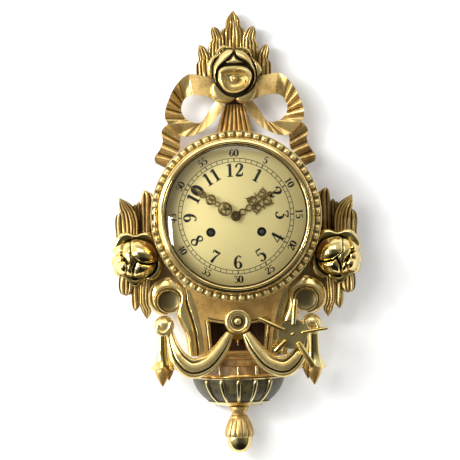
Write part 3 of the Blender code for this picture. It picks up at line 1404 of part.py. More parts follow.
def build():
    make_back_board()
    make_hanger_plate()
    make_case_drum()
    make_case_front()
    make_beaded_ring()
    make_door_hinge()
    make_hinge_pin()
    make_door_bezel()
    make_door_glass()
    make_door_catch()
    make_dial()
    make_hand("minute_hand", MINUTE_HAND_LENGTH, (0.26, 0.75, 0.072), MINUTE_HAND_BACK, CANNON_PIPE_RADIUS,
              MINUTE_HAND_ANGLE)
    make_hand("hour_hand", HOUR_HAND_LENGTH, (0.244, 0.763, 0.153), HOUR_HAND_BACK, HOUR_PIPE_RADIUS,
              HOUR_HAND_ANGLE)
    make_hand_nut()
    make_movement_plate("movement_front_plate", PLATE_FRONT_DEPTH - PLATE_THICKNESS,
                        [(0.0, MINUTE_WHEEL_RISE, ARBOR_RADIUS)])
    make_movement_plate("movement_back_plate", PLATE_BACK_REAR, [(HAMMER_ACROSS, HAMMER_RISE, ARBOR_RADIUS)])
    for level, up in zip(("upper", "lower"), PILLAR_UPS):
        for side in (LEFT, RIGHT):
            make_pillar(side_name(f"{level}_pillar", side), side * PILLAR_ACROSS, up)
    make_centre_arbor()
    make_minute_wheel()
    make_hour_wheel()
    make_barrel("strike_barrel", LEFT)
    make_barrel("going_barrel", RIGHT)
    make_winding_arbor("strike_winding_arbor", LEFT)
    make_winding_arbor("going_winding_arbor", RIGHT)
    make_escape_wheel()
    make_pallet_anchor()
    make_pendulum_cock()
    make_pendulum_rod()
    make_pendulum_bob()
    make_rating_nut()
    make_bell()
    make_bell_post()
    make_hammer()
    make_crest_plume()
    make_crest_rose()
    make_neck_pleats()
    for side in (LEFT, RIGHT):
        make_bow(side)
        make_side_plume(side)
        make_side_rose(side)
        make_side_drop(side)
        make_scroll(side)
        make_swag(side)
        make_tassel(side)
    make_trunk()
    make_centre_boss()
    make_dado()
    make_bowl()
    make_finial_cup()
    make_finial_acorn()
    make_winding_key()


build()
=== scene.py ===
# %% [markdown]
# A carved and gilded wall clock
# This lesson dresses a plain, exact model of a wall clock with carving, gilding, a printed dial and glass.
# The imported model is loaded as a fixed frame, so every piece made here is placed by the frame's own sizes.

# %% Load the frame
import json
import math

import bmesh
import bpy
import numpy as np
from mathutils import Matrix, Vector

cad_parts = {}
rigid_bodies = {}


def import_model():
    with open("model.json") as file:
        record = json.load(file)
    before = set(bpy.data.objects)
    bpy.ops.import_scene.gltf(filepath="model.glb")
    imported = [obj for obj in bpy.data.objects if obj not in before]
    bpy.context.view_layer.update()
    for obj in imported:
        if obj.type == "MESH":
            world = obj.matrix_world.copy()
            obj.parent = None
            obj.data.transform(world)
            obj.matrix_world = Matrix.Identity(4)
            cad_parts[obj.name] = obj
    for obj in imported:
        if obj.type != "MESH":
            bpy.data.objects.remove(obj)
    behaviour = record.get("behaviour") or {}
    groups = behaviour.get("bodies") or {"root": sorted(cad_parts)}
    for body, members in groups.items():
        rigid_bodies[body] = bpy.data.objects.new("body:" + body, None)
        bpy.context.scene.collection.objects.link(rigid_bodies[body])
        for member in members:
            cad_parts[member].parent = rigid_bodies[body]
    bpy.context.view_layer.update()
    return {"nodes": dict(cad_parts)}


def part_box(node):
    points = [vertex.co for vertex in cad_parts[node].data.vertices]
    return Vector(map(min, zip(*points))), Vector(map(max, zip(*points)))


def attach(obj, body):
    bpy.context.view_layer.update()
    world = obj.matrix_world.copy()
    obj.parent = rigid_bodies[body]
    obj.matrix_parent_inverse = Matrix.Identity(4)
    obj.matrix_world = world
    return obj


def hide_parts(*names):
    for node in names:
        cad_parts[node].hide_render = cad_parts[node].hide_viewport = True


for old in list(bpy.data.objects):
    bpy.data.objects.remove(old, do_unlink=True)
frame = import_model()
LEFT, RIGHT = -1, 1
SIDES = ((LEFT, "left"), (RIGHT, "right"))

# %% [markdown]
# Sizes from the frame
# Carving follows the solids that it stands for, so its driving sizes are read from their boxes. A point of
# the clock's front is written (across, up, depth): metres to the right, metres up from the dial's middle,
# and metres out from the wall.

# %% Sizes from the frame
def node_box(node):
    """Lowest and highest (across, up, depth) of a node."""
    low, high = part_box(node)
    return Vector((low.x, low.z, -high.y)), Vector((high.x, high.z, -low.y))


def node_middle(node):
    low, high = node_box(node)
    return (low + high) / 2


RING_LOW, RING_HIGH = node_box("beaded_ring")
RING_RADIUS = RING_HIGH.x
BEZEL_LOW, BEZEL_HIGH = node_box("door_bezel")
BEZEL_RADIUS = BEZEL_HIGH.x
DIAL_LOW, DIAL_HIGH = node_box("dial")
DIAL_RADIUS = DIAL_HIGH.x
DIAL_FACE = DIAL_HIGH.z
GLASS_LOW, GLASS_HIGH = node_box("door_glass")
print("ring", round(RING_RADIUS, 4), "bezel", round(BEZEL_RADIUS, 4), "dial", round(DIAL_RADIUS, 4))

# %% [markdown]
# Camera
# The photograph is taken almost straight on, and the clock hangs a little askew in it: its axis leans by
# nine tenths of a degree. A long lens far away keeps the front's proportions, and turning the camera about
# its own line of sight gives the lean.

# %% Camera
VIEW_WIDTH = 0.619
VIEW_CENTRE = (-0.0084, -0.0184)
VIEW_DISTANCE = 3.0
VIEW_ROLL = math.radians(0.9)
SENSOR = 36.0

camera_data = bpy.data.cameras.new("camera")
camera_data.sensor_width = SENSOR
camera_data.lens = SENSOR * VIEW_DISTANCE / VIEW_WIDTH
camera = bpy.data.objects.new("camera", camera_data)
camera.location = (VIEW_CENTRE[0], -VIEW_DISTANCE - RING_HIGH.z / 2, VIEW_CENTRE[1])
camera.rotation_euler = (math.pi / 2, VIEW_ROLL, 0)
bpy.context.scene.collection.objects.link(camera)
bpy.context.scene.camera = camera
bpy.context.scene.view_settings.view_transform = "Standard"
print("lens", round(camera_data.lens, 1), "mm")

# %% [markdown]
# Shader maths as plain expressions
# A material is easier to read as a formula than as a web of nodes. This small class wraps one output socket,
# and its operators add the Math nodes, so that 1 - mask or grain * 0.3 can be written as such.

# %% Shader maths
class Amount:
    """One socket of a material's node tree, with arithmetic."""

    def __init__(self, finish, socket):
        self.finish = finish
        self.socket = socket

    def maths(self, operation, first, second=0.0):
        return self.finish.node("ShaderNodeMath", {"operation": operation}, {0: first, 1: second})

    def __add__(self, other):
        return self.maths("ADD", self, other)

    def __radd__(self, other):
        return self.maths("ADD", other, self)

    def __sub__(self, other):
        return self.maths("SUBTRACT", self, other)

    def __rsub__(self, other):
        return self.maths("SUBTRACT", other, self)

    def __mul__(self, other):
        return self.maths("MULTIPLY", self, other)

    def __rmul__(self, other):
        return self.maths("MULTIPLY", other, self)

    def __truediv__(self, other):
        return self.maths("DIVIDE", self, other)

    def between(self, low, high):
        """0 below low, 1 above high and smooth in between."""
        return self.finish.node(
            "ShaderNodeMapRange", {"interpolation_type": "SMOOTHSTEP"}, {"Value": self, 1: low, 2: high}
        )


class Finish:
    """A material with a Principled shader, and the nodes that feed it."""

    def __init__(self, name, **constants):
        self.material = bpy.data.materials.new(name)
        self.material.use_nodes = True
        self.tree = self.material.node_tree
        self.shader = self.tree.nodes["Principled BSDF"]
        for socket, value in constants.items():
            self.shader.inputs[socket.replace("_", " ")].default_value = value

    def node(self, kind, settings, inputs, output=0):
        """Any node: its settings first, then its sockets' values or links."""
        made = self.tree.nodes.new(kind)
        for setting, value in settings.items():
            setattr(made, setting, value)
        for socket, value in inputs.items():
            if isinstance(value, Amount):
                self.tree.links.new(value.socket, made.inputs[socket])
            else:
                made.inputs[socket].default_value = value
        return Amount(self, made.outputs[output])

    def spot(self, stretch=(1, 1, 1)):
        """Object coordinates, stretched."""
        here = self.node("ShaderNodeTexCoord", {}, {}, "Object")
        return self.node("ShaderNodeMapping", {}, {"Vector": here, "Scale": stretch})

    def noise(self, scale, detail=3.0, where=None, distortion=0.0):
        inputs = {"Scale": scale, "Detail": detail, "Distortion": distortion}
        return self.node("ShaderNodeTexNoise", {}, {"Vector": where or self.spot(), **inputs})

    def attribute(self, name):
        return self.node("ShaderNodeAttribute", {"attribute_name": name}, {}, "Fac")

    def blend(self, share, first, second):
        """A colour between two colours."""
        return self.node("ShaderNodeMix", {"data_type": "RGBA"}, {"Factor": share, 6: first, 7: second}, 2)

    def bump(self, height, strength, distance):
        return self.node("ShaderNodeBump", {}, {"Height": height, "Strength": strength, "Distance": distance})

    def mixed(self, share, first, second):
        """A shader between two shaders."""
        return self.node("ShaderNodeMixShader", {}, {0: share, 1: first, 2: second})

    def show(self, shader):
        """Lets another shader than the Principled one make the surface."""
        self.tree.links.new(shader.socket, self.tree.nodes["Material Output"].inputs["Surface"])
        return self.material

    def feed(self, **links):
        for socket, value in links.items():
            self.tree.links.new(value.socket, self.shader.inputs[socket.replace("_", " ")])
        return self


def rgb(red, green, blue):
    """A colour written as it looks on a screen, 0 to 255, in the linear values that shaders use."""
    return tuple((share / 255) ** 2.2 for share in (red, green, blue)) + (1.0,)


print("shader maths ready")

# %% [markdown]
# Gilding
# Carved wood is primed, rubbed with gold size and covered with metal leaf. On this clock the leaves and the bow
# are left matte and brownish, the ring, scrolls and swags are satin, and the side roses, bell flowers and acorn
# are burnished until they mirror the room. All are one formula with other numbers. Each carved piece carries a
# value per point that paints its hollows, grooves and the gaps between its parts dark: a little of that is dust
# and lacquer kept in the hollows, most of it is painted shade. Small clouds of wear change the colour and the
# roughness.

# %% Gilding
def gilding(name, gold, worn, shade_and_dust_colour, roughness, waviness, coat=0.0, metal=1.0):
    finish = Finish(name, Metallic=metal, Coat_Weight=coat, Coat_Roughness=0.08)
    recess = finish.attribute("recess").between(0.12, 0.95)
    clouds = finish.noise(38.0, 4.0)
    specks = finish.noise(420.0, 2.0)
    wear = (clouds * 0.75 + specks * 0.25).between(0.44, 0.66)
    colour = finish.blend(wear, gold, worn)
    # Painted shade, with a little dust: hollows, grooves and gaps blend towards the near-black shade colour.
    colour = finish.blend(recess * 0.92, colour, shade_and_dust_colour)
    rough = roughness + clouds * 0.10 + recess * 0.25 - 0.05
    brushing = finish.noise(90.0, 3.0, finish.spot((1.0, 1.0, 0.35)))
    relief = finish.bump(brushing * 0.7 + specks * 0.3, waviness, 0.0012)
    finish.feed(Base_Color=colour, Roughness=rough, Normal=relief)
    return finish.material


MATTE_GILDING = gilding("matte_gilding", rgb(216, 184, 116), rgb(166, 132, 74), rgb(32, 22, 7), 0.27, 0.08, 0.0, 0.76)
AGED_GILDING = gilding("aged_gilding", rgb(214, 174, 102), rgb(176, 136, 72), rgb(40, 28, 9), 0.42, 0.06, 0.0, 0.62)
ROSE_GILDING = gilding("rose_gilding", rgb(224, 200, 134), rgb(198, 168, 100), rgb(18, 12, 3), 0.25, 0.03, 0.0, 0.80)
SATIN_GILDING = gilding("satin_gilding", rgb(236, 212, 144), rgb(210, 180, 110), rgb(20, 14, 4), 0.15, 0.02, 0.0,
    0.84)
BURNISHED_GILDING = gilding("burnished_gilding", rgb(238, 218, 150), rgb(216, 188, 116), rgb(16, 11, 3), 0.09, 0.02,
    0.04)
BEAD_GILDING = gilding("bead_gilding", rgb(240, 216, 150), rgb(214, 186, 116), rgb(40, 28, 9), 0.17, 0.02, 0.0, 0.72)
BRONZED_GILDING = gilding("bronzed_gilding", rgb(226, 184, 110), rgb(186, 144, 78), rgb(40, 26, 8), 0.22, 0.03, 0.0,
    0.80)
ROD_GILDING = gilding("rod_gilding", rgb(240, 222, 162), rgb(212, 186, 120), rgb(60, 42, 12), 0.20, 0.04, 0.1)
print("gilding", MATTE_GILDING.name, BURNISHED_GILDING.name, ROD_GILDING.name)

# %% [markdown]
# Brass, steel, iron and wood
# The door ring is turned brass with faint lathe lines round its axis, the movement is brass and steel, and
# the parts that nobody sees are plain wood. Lathe lines come from the distance to the dial's axis, which
# is the length of the Object coordinates across and up.

# %% Metals and wood
def axis_distance(finish, across=0.0, up=0.0):
    """Distance from an axis that runs out of the wall."""
    here = finish.node("ShaderNodeTexCoord", {}, {}, "Object")
    moved = finish.node("ShaderNodeMapping", {}, {"Vector": here, "Location": (-across, 0, -up), "Scale": (1, 0, 1)})
    return finish.node("ShaderNodeVectorMath", {"operation": "LENGTH"}, {0: moved}, "Value")


def turned_metal(name, colour, tarnish, roughness, lines, metal=1.0, across=0.0, up=0.0):
    finish = Finish(name, Metallic=metal)
    distance = axis_distance(finish, across, up)
    spot = finish.node("ShaderNodeCombineXYZ", {}, {"X": distance})
    rings = finish.noise(lines, 2.0, spot)
    clouds = finish.noise(30.0, 4.0)
    mixed = finish.blend((clouds * 0.7 + rings * 0.3).between(0.42, 0.7), colour, tarnish)
    finish.feed(
        Base_Color=mixed,
        Roughness=roughness + rings * 0.10 + clouds * 0.08 - 0.08,
        Normal=finish.bump(rings, 0.10, 0.0004),
    )
    return finish.material


def plain_metal(name, colour, tarnish, roughness, grain=220.0):
    finish = Finish(name, Metallic=1.0)
    clouds = finish.noise(45.0, 4.0)
    scratches = finish.noise(grain, 2.0, finish.spot((1.0, 1.0, 0.12)))
    mixed = finish.blend(clouds.between(0.4, 0.7), colour, tarnish)
    finish.feed(
        Base_Color=mixed,
        Roughness=roughness + scratches * 0.15 + clouds * 0.1 - 0.1,
        Normal=finish.bump(scratches, 0.12, 0.0005),
    )
    return finish.material


def wood(name, light, dark, roughness):
    finish = Finish(name)
    grain = finish.noise(26.0, 6.0, finish.spot((6.0, 6.0, 0.8)), 1.2)
    pores = finish.noise(500.0, 2.0, finish.spot((1.0, 1.0, 0.06)))
    mixed = finish.blend((grain * 0.7 + pores * 0.3).between(0.35, 0.68), light, dark)
    finish.feed(
        Base_Color=mixed,
        Roughness=roughness + pores * 0.2 - 0.1,
        Normal=finish.bump(grain * 0.5 + pores * 0.5, 0.25, 0.0008),
    )
    return finish.material


BEZEL_BRASS = turned_metal("bezel_brass", rgb(236, 208, 140), rgb(206, 174, 106), 0.10, 2600.0)
MOVEMENT_BRASS = plain_metal("movement_brass", rgb(222, 186, 104), rgb(186, 142, 66), 0.28)
STEEL = plain_metal("bright_steel", rgb(190, 192, 196), rgb(140, 138, 134), 0.3)
IRON = plain_metal("black_iron", rgb(64, 62, 60), rgb(84, 56, 38), 0.55, 120.0)
HAND_BRASS = plain_metal("antique_hand_brass", rgb(158, 134, 82), rgb(100, 80, 46), 0.34, 900.0)
KEY_BRASS = plain_metal("key_tube_brass", rgb(236, 208, 128), rgb(206, 172, 92), 0.16)
CASE_WOOD = wood("case_wood", rgb(150, 104, 60), rgb(92, 58, 30), 0.6)
# The back board is coloured far darker than pine, as the shade inside the trunk where it shows through the window.
BACK_WOOD = wood("back_wood_dark_as_shade", rgb(84, 57, 31), rgb(52, 33, 17), 0.6)
# Used only for the painted shadow line beside the window strip.
SHADOW_WOOD = wood("painted_shadow_wood", rgb(58, 38, 18), rgb(30, 18, 8), 0.5)
print("metals and wood ready")

# %% [markdown]
# A tool for carving
# Every carved piece here is a set of closed bodies, each made from a grid of points with a front and a back.
# A sculptor would push clay; a formula does the same and can be repeated for the other side of the clock.
# The class gathers the grids, turns (across, up, depth) into the scene's axes, and makes one plain mesh.

# %% The carving tool
class Carving:
    """Closed bodies that become one mesh, with a value at every point that paints shade and dust dark."""

    def __init__(self):
        self.points = []
        self.recess = []
        self.faces = []

    def grid(self, points, recess=None, wrap=False, flip=False):
        """Adds a grid of points (rows, columns, 3) and gives its numbers back."""
        rows, columns = points.shape[:2]
        start = len(self.points)
        number = np.arange(rows * columns).reshape(rows, columns) + start
        self.points.extend(points.reshape(-1, 3).tolist())
        values = np.zeros((rows, columns)) if recess is None else np.broadcast_to(recess, (rows, columns))
        self.recess.extend(values.reshape(-1).tolist())
        across = np.hstack([number, number[:, :1]]) if wrap else number
        corners = [across[:-1, :-1], across[:-1, 1:], across[1:, 1:], across[1:, :-1]]
        quads = np.stack(corners[::-1] if flip else corners, axis=-1).reshape(-1, 4)
        self.faces.extend(quads.tolist())
        return number

    def shell(self, face, back, recess=None):
        """A body between two grids of one shape, closed round the edge."""
        front = self.grid(face, recess)
        rear = self.grid(back, recess, flip=True)
        rim_front = [*front[0, :], *front[1:, -1], *front[-1, -2::-1], *front[-2:0:-1, 0]]
        rim_rear = [*rear[0, :], *rear[1:, -1], *rear[-1, -2::-1], *rear[-2:0:-1, 0]]
        for here, (a, b) in enumerate(zip(rim_front, rim_rear)):
            after = (here + 1) % len(rim_front)
            self.faces.append([a, b, rim_rear[after], rim_front[after]])

    def tube(self, rings, recess=None):
        """A body from closed rings (rows, columns, 3), capped at both ends."""
        number = self.grid(rings, recess, wrap=True)
        self.faces.append(number[0, ::-1].tolist())
        self.faces.append(number[-1, :].tolist())

    def lathe(self, profile, steps=96, across=0.0, up=0.0, upright=False, wave=None, first=0.0, turn=2 * np.pi):
        """Turns (radius, height) points round an axis out of the wall, or round an upright one."""
        profile = np.asarray(profile, float)
        whole = abs(turn - 2 * np.pi) < 1e-6
        angle = first + np.linspace(0, turn, steps, endpoint=not whole)
        radius, angle = np.meshgrid(profile[:, 0], angle, indexing="ij")
        height = np.broadcast_to(profile[:, 1:2], radius.shape)
        recess = np.zeros(radius.shape)
        if wave is not None:
            radius, recess = wave(radius, height, angle)
        if upright:
            points = np.stack([across + radius * np.sin(angle), up + height, radius * np.cos(angle)], -1)
        else:
            points = np.stack([across + radius * np.cos(angle), up + radius * np.sin(angle), height], -1)
        return points, recess

    def turned(self, profile, steps=96, across=0.0, up=0.0, depth=0.0, upright=False, wave=None):
        """A whole turned body; upright ones stand at a depth from the wall."""
        points, recess = self.lathe(profile, steps, across, up, upright, wave)
        points = points + np.array([0, 0, depth])
        closed = np.allclose(profile[0], profile[-1])
        if closed:
            number = self.grid(points[:-1], recess[:-1], wrap=True)
            for column in range(number.shape[1]):
                after = (column + 1) % number.shape[1]
                self.faces.append([number[-1, column], number[-1, after], number[0, after], number[0, column]])
        else:
            self.tube(points, recess)

    def piece(self, name, material, nodes, slot, body="case", sharp=38.0):
        """Makes the object, and says which body it rides on and which nodes it stands for."""
        mesh = bpy.data.meshes.new(name)
        sheet = bmesh.new()
        layer = sheet.verts.layers.float.new("recess")
        made = [sheet.verts.new((p[0], -p[2], p[1])) for p in self.points]
        for vertex, value in zip(made, self.recess):
            vertex[layer] = value
        for corners in self.faces:
            if len(set(corners)) == len(corners):
                sheet.faces.new([made[i] for i in corners])
        bmesh.ops.remove_doubles(sheet, verts=sheet.verts, dist=2e-6)
        bmesh.ops.recalc_face_normals(sheet, faces=sheet.faces)
        sheet.to_mesh(mesh)
        sheet.free()
        return dress(mesh, name, material, nodes, body, sharp)


def dress(mesh, name, material, nodes, body="case", sharp=38.0):
    """Puts a finished mesh in the scene and ties it to the frame."""
    mesh.materials.clear()
    mesh.materials.append(material)
    mesh.shade_smooth()
    mesh.set_sharp_from_angle(angle=math.radians(sharp))
    made = bpy.data.objects.new(name, mesh)
    bpy.context.scene.collection.objects.link(made)
    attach(made, body)
    if nodes:
        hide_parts(*nodes)
    low, high = (np.array(made.bound_box).min(0), np.array(made.bound_box).max(0))
    print(name, len(mesh.polygons), "faces", np.round((high - low) * 1000, 1), "mm")
    return made


def spread(count, low=0.0, high=1.0):
    return np.linspace(low, high, count)


def smooth_path(points, count):
    """A smooth curve through rows of numbers, evenly stepped in its own length."""
    rows = np.asarray(points, float)
    before = np.vstack([2 * rows[:1] - rows[1:2], rows, 2 * rows[-1:] - rows[-2:-1]])
    fine = []
    for i in range(len(rows) - 1):
        a, b, c, d = before[i : i + 4]
        t = np.linspace(0, 1, 40, endpoint=False)[:, None]
        fine.append(
            0.5 * (2 * b + (c - a) * t + (2 * a - 5 * b + 4 * c - d) * t**2 + (3 * b - a - 3 * c + d) * t**3)
        )
    fine = np.vstack(fine + [rows[-1:]])
    gone = np.concatenate([[0], np.cumsum(np.linalg.norm(np.diff(fine[:, :2], axis=0), axis=1))])
    even = np.linspace(0, gone[-1], count)
    return np.stack([np.interp(even, gone, fine[:, k]) for k in range(rows.shape[1])], -1)


def hill(share, power=2.0):
    """1 in the middle and 0 at both ends of -1 to 1."""
    return np.clip(1 - np.abs(share) ** power, 0, 1)


print("carving tool ready")

# %% [markdown]
# The crest plume
# A bunch of flame-shaped leaves stands behind the rose. On the real clock each is carved with gouges, whose
# grooves run the leaf's whole length and meet at its tip. One leaf lies between two edges that end in its tip.
# Its section is a row of rounded ridges with sharp valleys, which wander a little as handwork does, and its tip
# leans forward.

# %% The crest plume
LEAF_CROWN, LEAF_GOUGE = 0.26, 0.40


def leaf(carving, side, left, right, depth, back, lean=0.006, ridges=5):
    """One gouged leaf between two edges, in millimetres, that meet in its tip; side mirrors it."""
    one, two = smooth_path(left, 64) / 1000, smooth_path(right, 64) / 1000
    v, u = np.meshgrid(spread(64), spread(41, -1, 1), indexing="ij")
    place = one[:, None] * (1 - u[..., None]) / 2 + two[:, None] * (1 + u[..., None]) / 2
    half = np.clip(np.linalg.norm(two - one, axis=1) / 2, 0.0004, 0.011)[:, None]
    wander = 0.5 * np.sin(2.4 * u + left[0][0]) + 0.35 * np.sin(4.0 * v + left[0][0]) * (1 - u**2)
    ridge = np.abs(np.cos(np.pi * ridges * u / 2 + wander)) ** 0.75
    ridge = ridge * (0.82 + 0.18 * np.sin(2.1 * ridges * u + 5.0 * v + left[0][0]))
    fade = np.clip((1 - v) / 0.10, 0, 1) ** 0.5
    front = depth + half * (LEAF_CROWN * hill(u, 2.4) + LEAF_GOUGE * ridge * fade) + lean * v**3
    face = np.stack([side * place[..., 0], place[..., 1], front], -1)
    rear = face.copy()
    rear[..., 2] = np.minimum(back, front - 0.0015)
    # The valleys between the ridges and the leaf's outer edges are painted darker as shade.
    carving.shell(face, rear, np.clip((0.85 - ridge) * 1.25 * fade + 0.5 * (np.abs(u) > 0.96), 0, 1))


plume_back = node_box("crest_plume")[0].z
PLUME_LEAVES = [
    ([(12, 205), (13, 238), (15.5, 247), (18.5, 252.5), (22.5, 256), (28, 257.5)],
     [(35, 205), (33.4, 231), (31.8, 236), (30, 239.5), (30.6, 246), (30.5, 252), (28, 257.5)], 0.008, 4),
    ([(28, 185), (31, 214), (35.5, 224.5), (39, 229.5), (42.5, 231.8), (46.8, 232.3)],
     [(50, 175), (50.6, 203), (49.6, 208), (47, 211.5), (47.4, 216), (48.2, 224), (46.8, 232.3)], 0.011, 4),
]
CENTRE_LEAF = [(16, 215), (15.8, 246), (14.6, 253.5), (11.8, 256), (10.2, 258.5), (10, 264), (7.8, 269.8), (4, 275),
    (0, 279.5)]
plume = Carving()
leaf(plume, RIGHT, [(-x, y) for x, y in CENTRE_LEAF], CENTRE_LEAF, plume_back + 0.005, plume_back, 0.004, 7)
for side in (LEFT, RIGHT):
    for left, right, step, ridges in PLUME_LEAVES:
        leaf(plume, side, left, right, plume_back + step, plume_back, 0.006, ridges)
plume.piece("carved_crest_plume", MATTE_GILDING, ["crest_plume"], "gilt_matte")

# %% [markdown]
# Roses
# A carved rose is read from its shadows: petals with rounded faces lie close together, and the gaps between them
# go dark. Here that shade is painted: the petals' edges along the gaps are painted dark. Three shapes are enough
# for all of them. A pad is a petal that wraps round a bud, given by angles and radii. A patch is a petal with an
# outline of its own, laid on a ground. A dome is the button in the middle.

# %% Petals
def rose_place(middle, base, side=1):
    """A rose's own (across, up, out) in the front's (across, up, depth); side mirrors it."""
    return lambda x, y, z: np.stack([side * (middle[0] + x), middle[1] + y, base + z], -1)


def patch(carving, side, outline, ground, rise, bulge, back, rim=0.9, floor=0.0):
    """A petal with a closed outline in millimetres, laid on a ground that gives the depth at (across, up)."""
    ring = smooth_path(list(outline) + [outline[0]], 81)[:-1] / 1000
    middle = ring.mean(axis=0)
    s = np.concatenate([[1.0], spread(20, 1.0, 0.02)])[:, None]
    x = middle[0] + (ring[:, 0] - middle[0]) * s
    y = middle[1] + (ring[:, 1] - middle[1]) * s
    depth = ground(x, y) + rise + bulge * (1 - s**2.2) - 0.0020 * s**14
    depth[0] = back
    # rim paints a band along the outline dark, as shade in the gap beside the petal; floor sets the least darkness
    # over the whole petal.
    carving.tube(np.stack([side * x, y, depth], -1), np.maximum(floor, rim * np.clip((s - 0.90) / 0.05, 0, 1)) + 0
        * x)


def pad(carving, place, rows, base, inside, outside, crown, sink=0.004, round_ends=10, gap=0.05):
    """A petal that wraps a bud: rows of (angle, inner radius, outer radius) in degrees and millimetres.

    Its height goes from inside to outside over its width, with a crown in between.
    """
    along = smooth_path(rows, 70)
    s = spread(25)[None, :]
    t = spread(70, -1, 1)[:, None]
    angle = np.radians(along[:, :1])
    radius = (along[:, 1:2] * (1 - s) + along[:, 2:3] * s) / 1000
    ends = hill(t, round_ends)
    height = inside * (1 - s) + outside * s + crown * np.sin(np.pi * s) ** 0.8 - 0.0018 * s**10
    height = base + (height - base) * (0.55 + 0.45 * np.sqrt(ends))
    # The petal's inner edge, over a width set by gap, and its two ends are painted dark, as shade in the gaps round
    # it.
    shade = 0.9 * np.exp(-((s / gap) ** 2)) + (1 - ends) * 0.4
    face = place(radius * np.cos(angle), radius * np.sin(angle), height)
    rear = place(radius * np.cos(angle), radius * np.sin(angle), 0 * height + base - sink)
    carving.shell(face, rear, np.clip(shade, 0, 1))


def dome(carving, place, radius, height, across=0.0, up=0.0, lift=0.0):
    """A small rounded button."""
    v, a = np.meshgrid(spread(10, 0.02, 1), spread(28, 0, 2 * np.pi)[:-1], indexing="ij")
    carving.tube(
        place(
            across + radius * np.sin(v * np.pi / 2) * np.cos(a),
            up + radius * np.sin(v * np.pi / 2) * np.sin(a),
            lift + height * np.cos(v * np.pi / 2),
        )
    )


print("petals and button ready")

# %% [markdown]
# The crest rose
# It faces the room. Two petals curl forward at the top with a small pointed one between them, two lie at the
# sides and two below, and a thick-lipped cup stands in front with a button in it. A floor lies under all of them
# and shows in the gaps; it is painted fully dark, as the shade between the petals. The cup's foot and inner wall
# are painted darker as shade too.

# %% The crest rose
ROSE_AT = (0.001, 0.186)
ROSE_BACK = [
    [(120, 37, 38), (131, 37.4, 41), (144, 36, 41.9), (158, 33.6, 40.4), (170, 31.6, 36.6), (178, 30, 32)],
    [(51, 35, 36), (40, 33.8, 36.8), (25, 31.8, 38.5), (14, 31, 38), (8, 30.4, 34), (4, 30, 31)],
    [(192, 28, 31), (200, 27, 35), (211, 25.8, 38.6), (224, 25.4, 40.3), (237, 25.4, 39), (250, 25.6, 35.6),
        (261, 25.8, 31), (270, 25.8, 27)],
    [(273, 27, 29), (279, 26.4, 33), (291, 26, 36.4), (304, 26.4, 37.4), (322, 27.8, 35.6), (338, 29, 32.4),
        (348, 29.4, 30.4)],
]
ROSE_CURLS = [
    [(128, 38.5, 39.5), (119, 41, 45.2), (108, 42.6, 46.7), (99, 41, 42.8), (91, 39, 39.6)],
    [(88, 39.4, 40), (80, 40.8, 42.2), (72, 40.8, 44), (62, 39.8, 42.8), (54, 37.4, 39.6), (46, 35.2, 36)],
]
ROSE_WRAPS = [
    [(92, 37.2, 38), (97, 32.6, 39.5), (103, 29.6, 40.6), (115, 27, 39.2), (122, 26.4, 37.4), (131, 26.2, 35),
        (147, 26.6, 33.4), (160, 26.6, 31), (173, 26.6, 28.8), (186, 25.8, 26.8), (194, 25.2, 25.8)],
    [(89, 37.2, 38), (84, 31.8, 38.8), (79, 29, 39.4), (70, 27.6, 39), (63, 27.6, 37.6), (50, 27.8, 34.4),
        (34, 27, 31.2), (16, 27.6, 29.6), (-5, 26.6, 28.4), (-24, 25.8, 27), (-45, 24.8, 25.6)],
]
ROSE_SMALL = [(0.3, 219.5), (3.5, 213), (9, 208.7), (14, 206.8), (7, 205.8), (0, 205.5), (-6, 205.8), (-11, 206.8),
    (-5.5, 211.3), (-2.7, 215.5)]
ROSE_FLOOR = [(-16, 218), (-28, 212), (-32, 196), (-29, 176), (-20, 162), (-6, 158), (10, 158), (24, 164),
    (30, 178), (32, 196), (24, 212), (14, 222), (0, 224)]
CUP_OUTSIDE = [(-21.4, 189), (-20, 196), (-13, 201), (0, 202), (11.5, 201.5), (19.4, 197.8), (24, 191.5), (24, 184),
    (20.6, 176.3), (13.2, 169), (4, 165.2), (-5.5, 165.2), (-13, 169.4), (-18.6, 176.8), (-21.4, 183)]
CUP_INSIDE = [(-15.6, 189), (-15.6, 193), (-9, 195.2), (0, 195.6), (9, 194.8), (15.6, 192), (19.6, 188),
    (21, 182.5), (18.6, 176), (12.4, 170.6), (4, 167.4), (-4.6, 167.4), (-10.6, 171.4), (-13.4, 177.6), (-15, 183)]
crest_rose = Carving()
rose_base = node_box("crest_rose")[0].z
rose_at = rose_place(ROSE_AT, rose_base)
flat_ground = lambda x, y: rose_base + 0 * x
# The floor is painted fully dark, as the shade that shows between the petals.
patch(crest_rose, RIGHT, ROSE_FLOOR, flat_ground, 0.0035, 0.001, rose_base, 1.0, floor=1.0)
for rows in ROSE_BACK:
    pad(crest_rose, rose_at, rows, 0.0, 0.0086, 0.0056, 0.0020)
for rows in ROSE_CURLS:
    pad(crest_rose, rose_at, rows, 0.0, 0.0085, 0.0075, 0.0016)
for rows in ROSE_WRAPS:
    pad(crest_rose, rose_at, rows, 0.002, 0.0155, 0.0085, 0.0022, 0.002, 14)
patch(crest_rose, RIGHT, ROSE_SMALL, lambda x, y: rose_base + 0.010 - 0.25 * (y - 0.205), 0.003, 0.002, rose_base,
    0.2)
outside, inside = (smooth_path(path + path[:1], 97)[:-1] / 1000 for path in (CUP_OUTSIDE, CUP_INSIDE))
middle = inside.mean(axis=0)
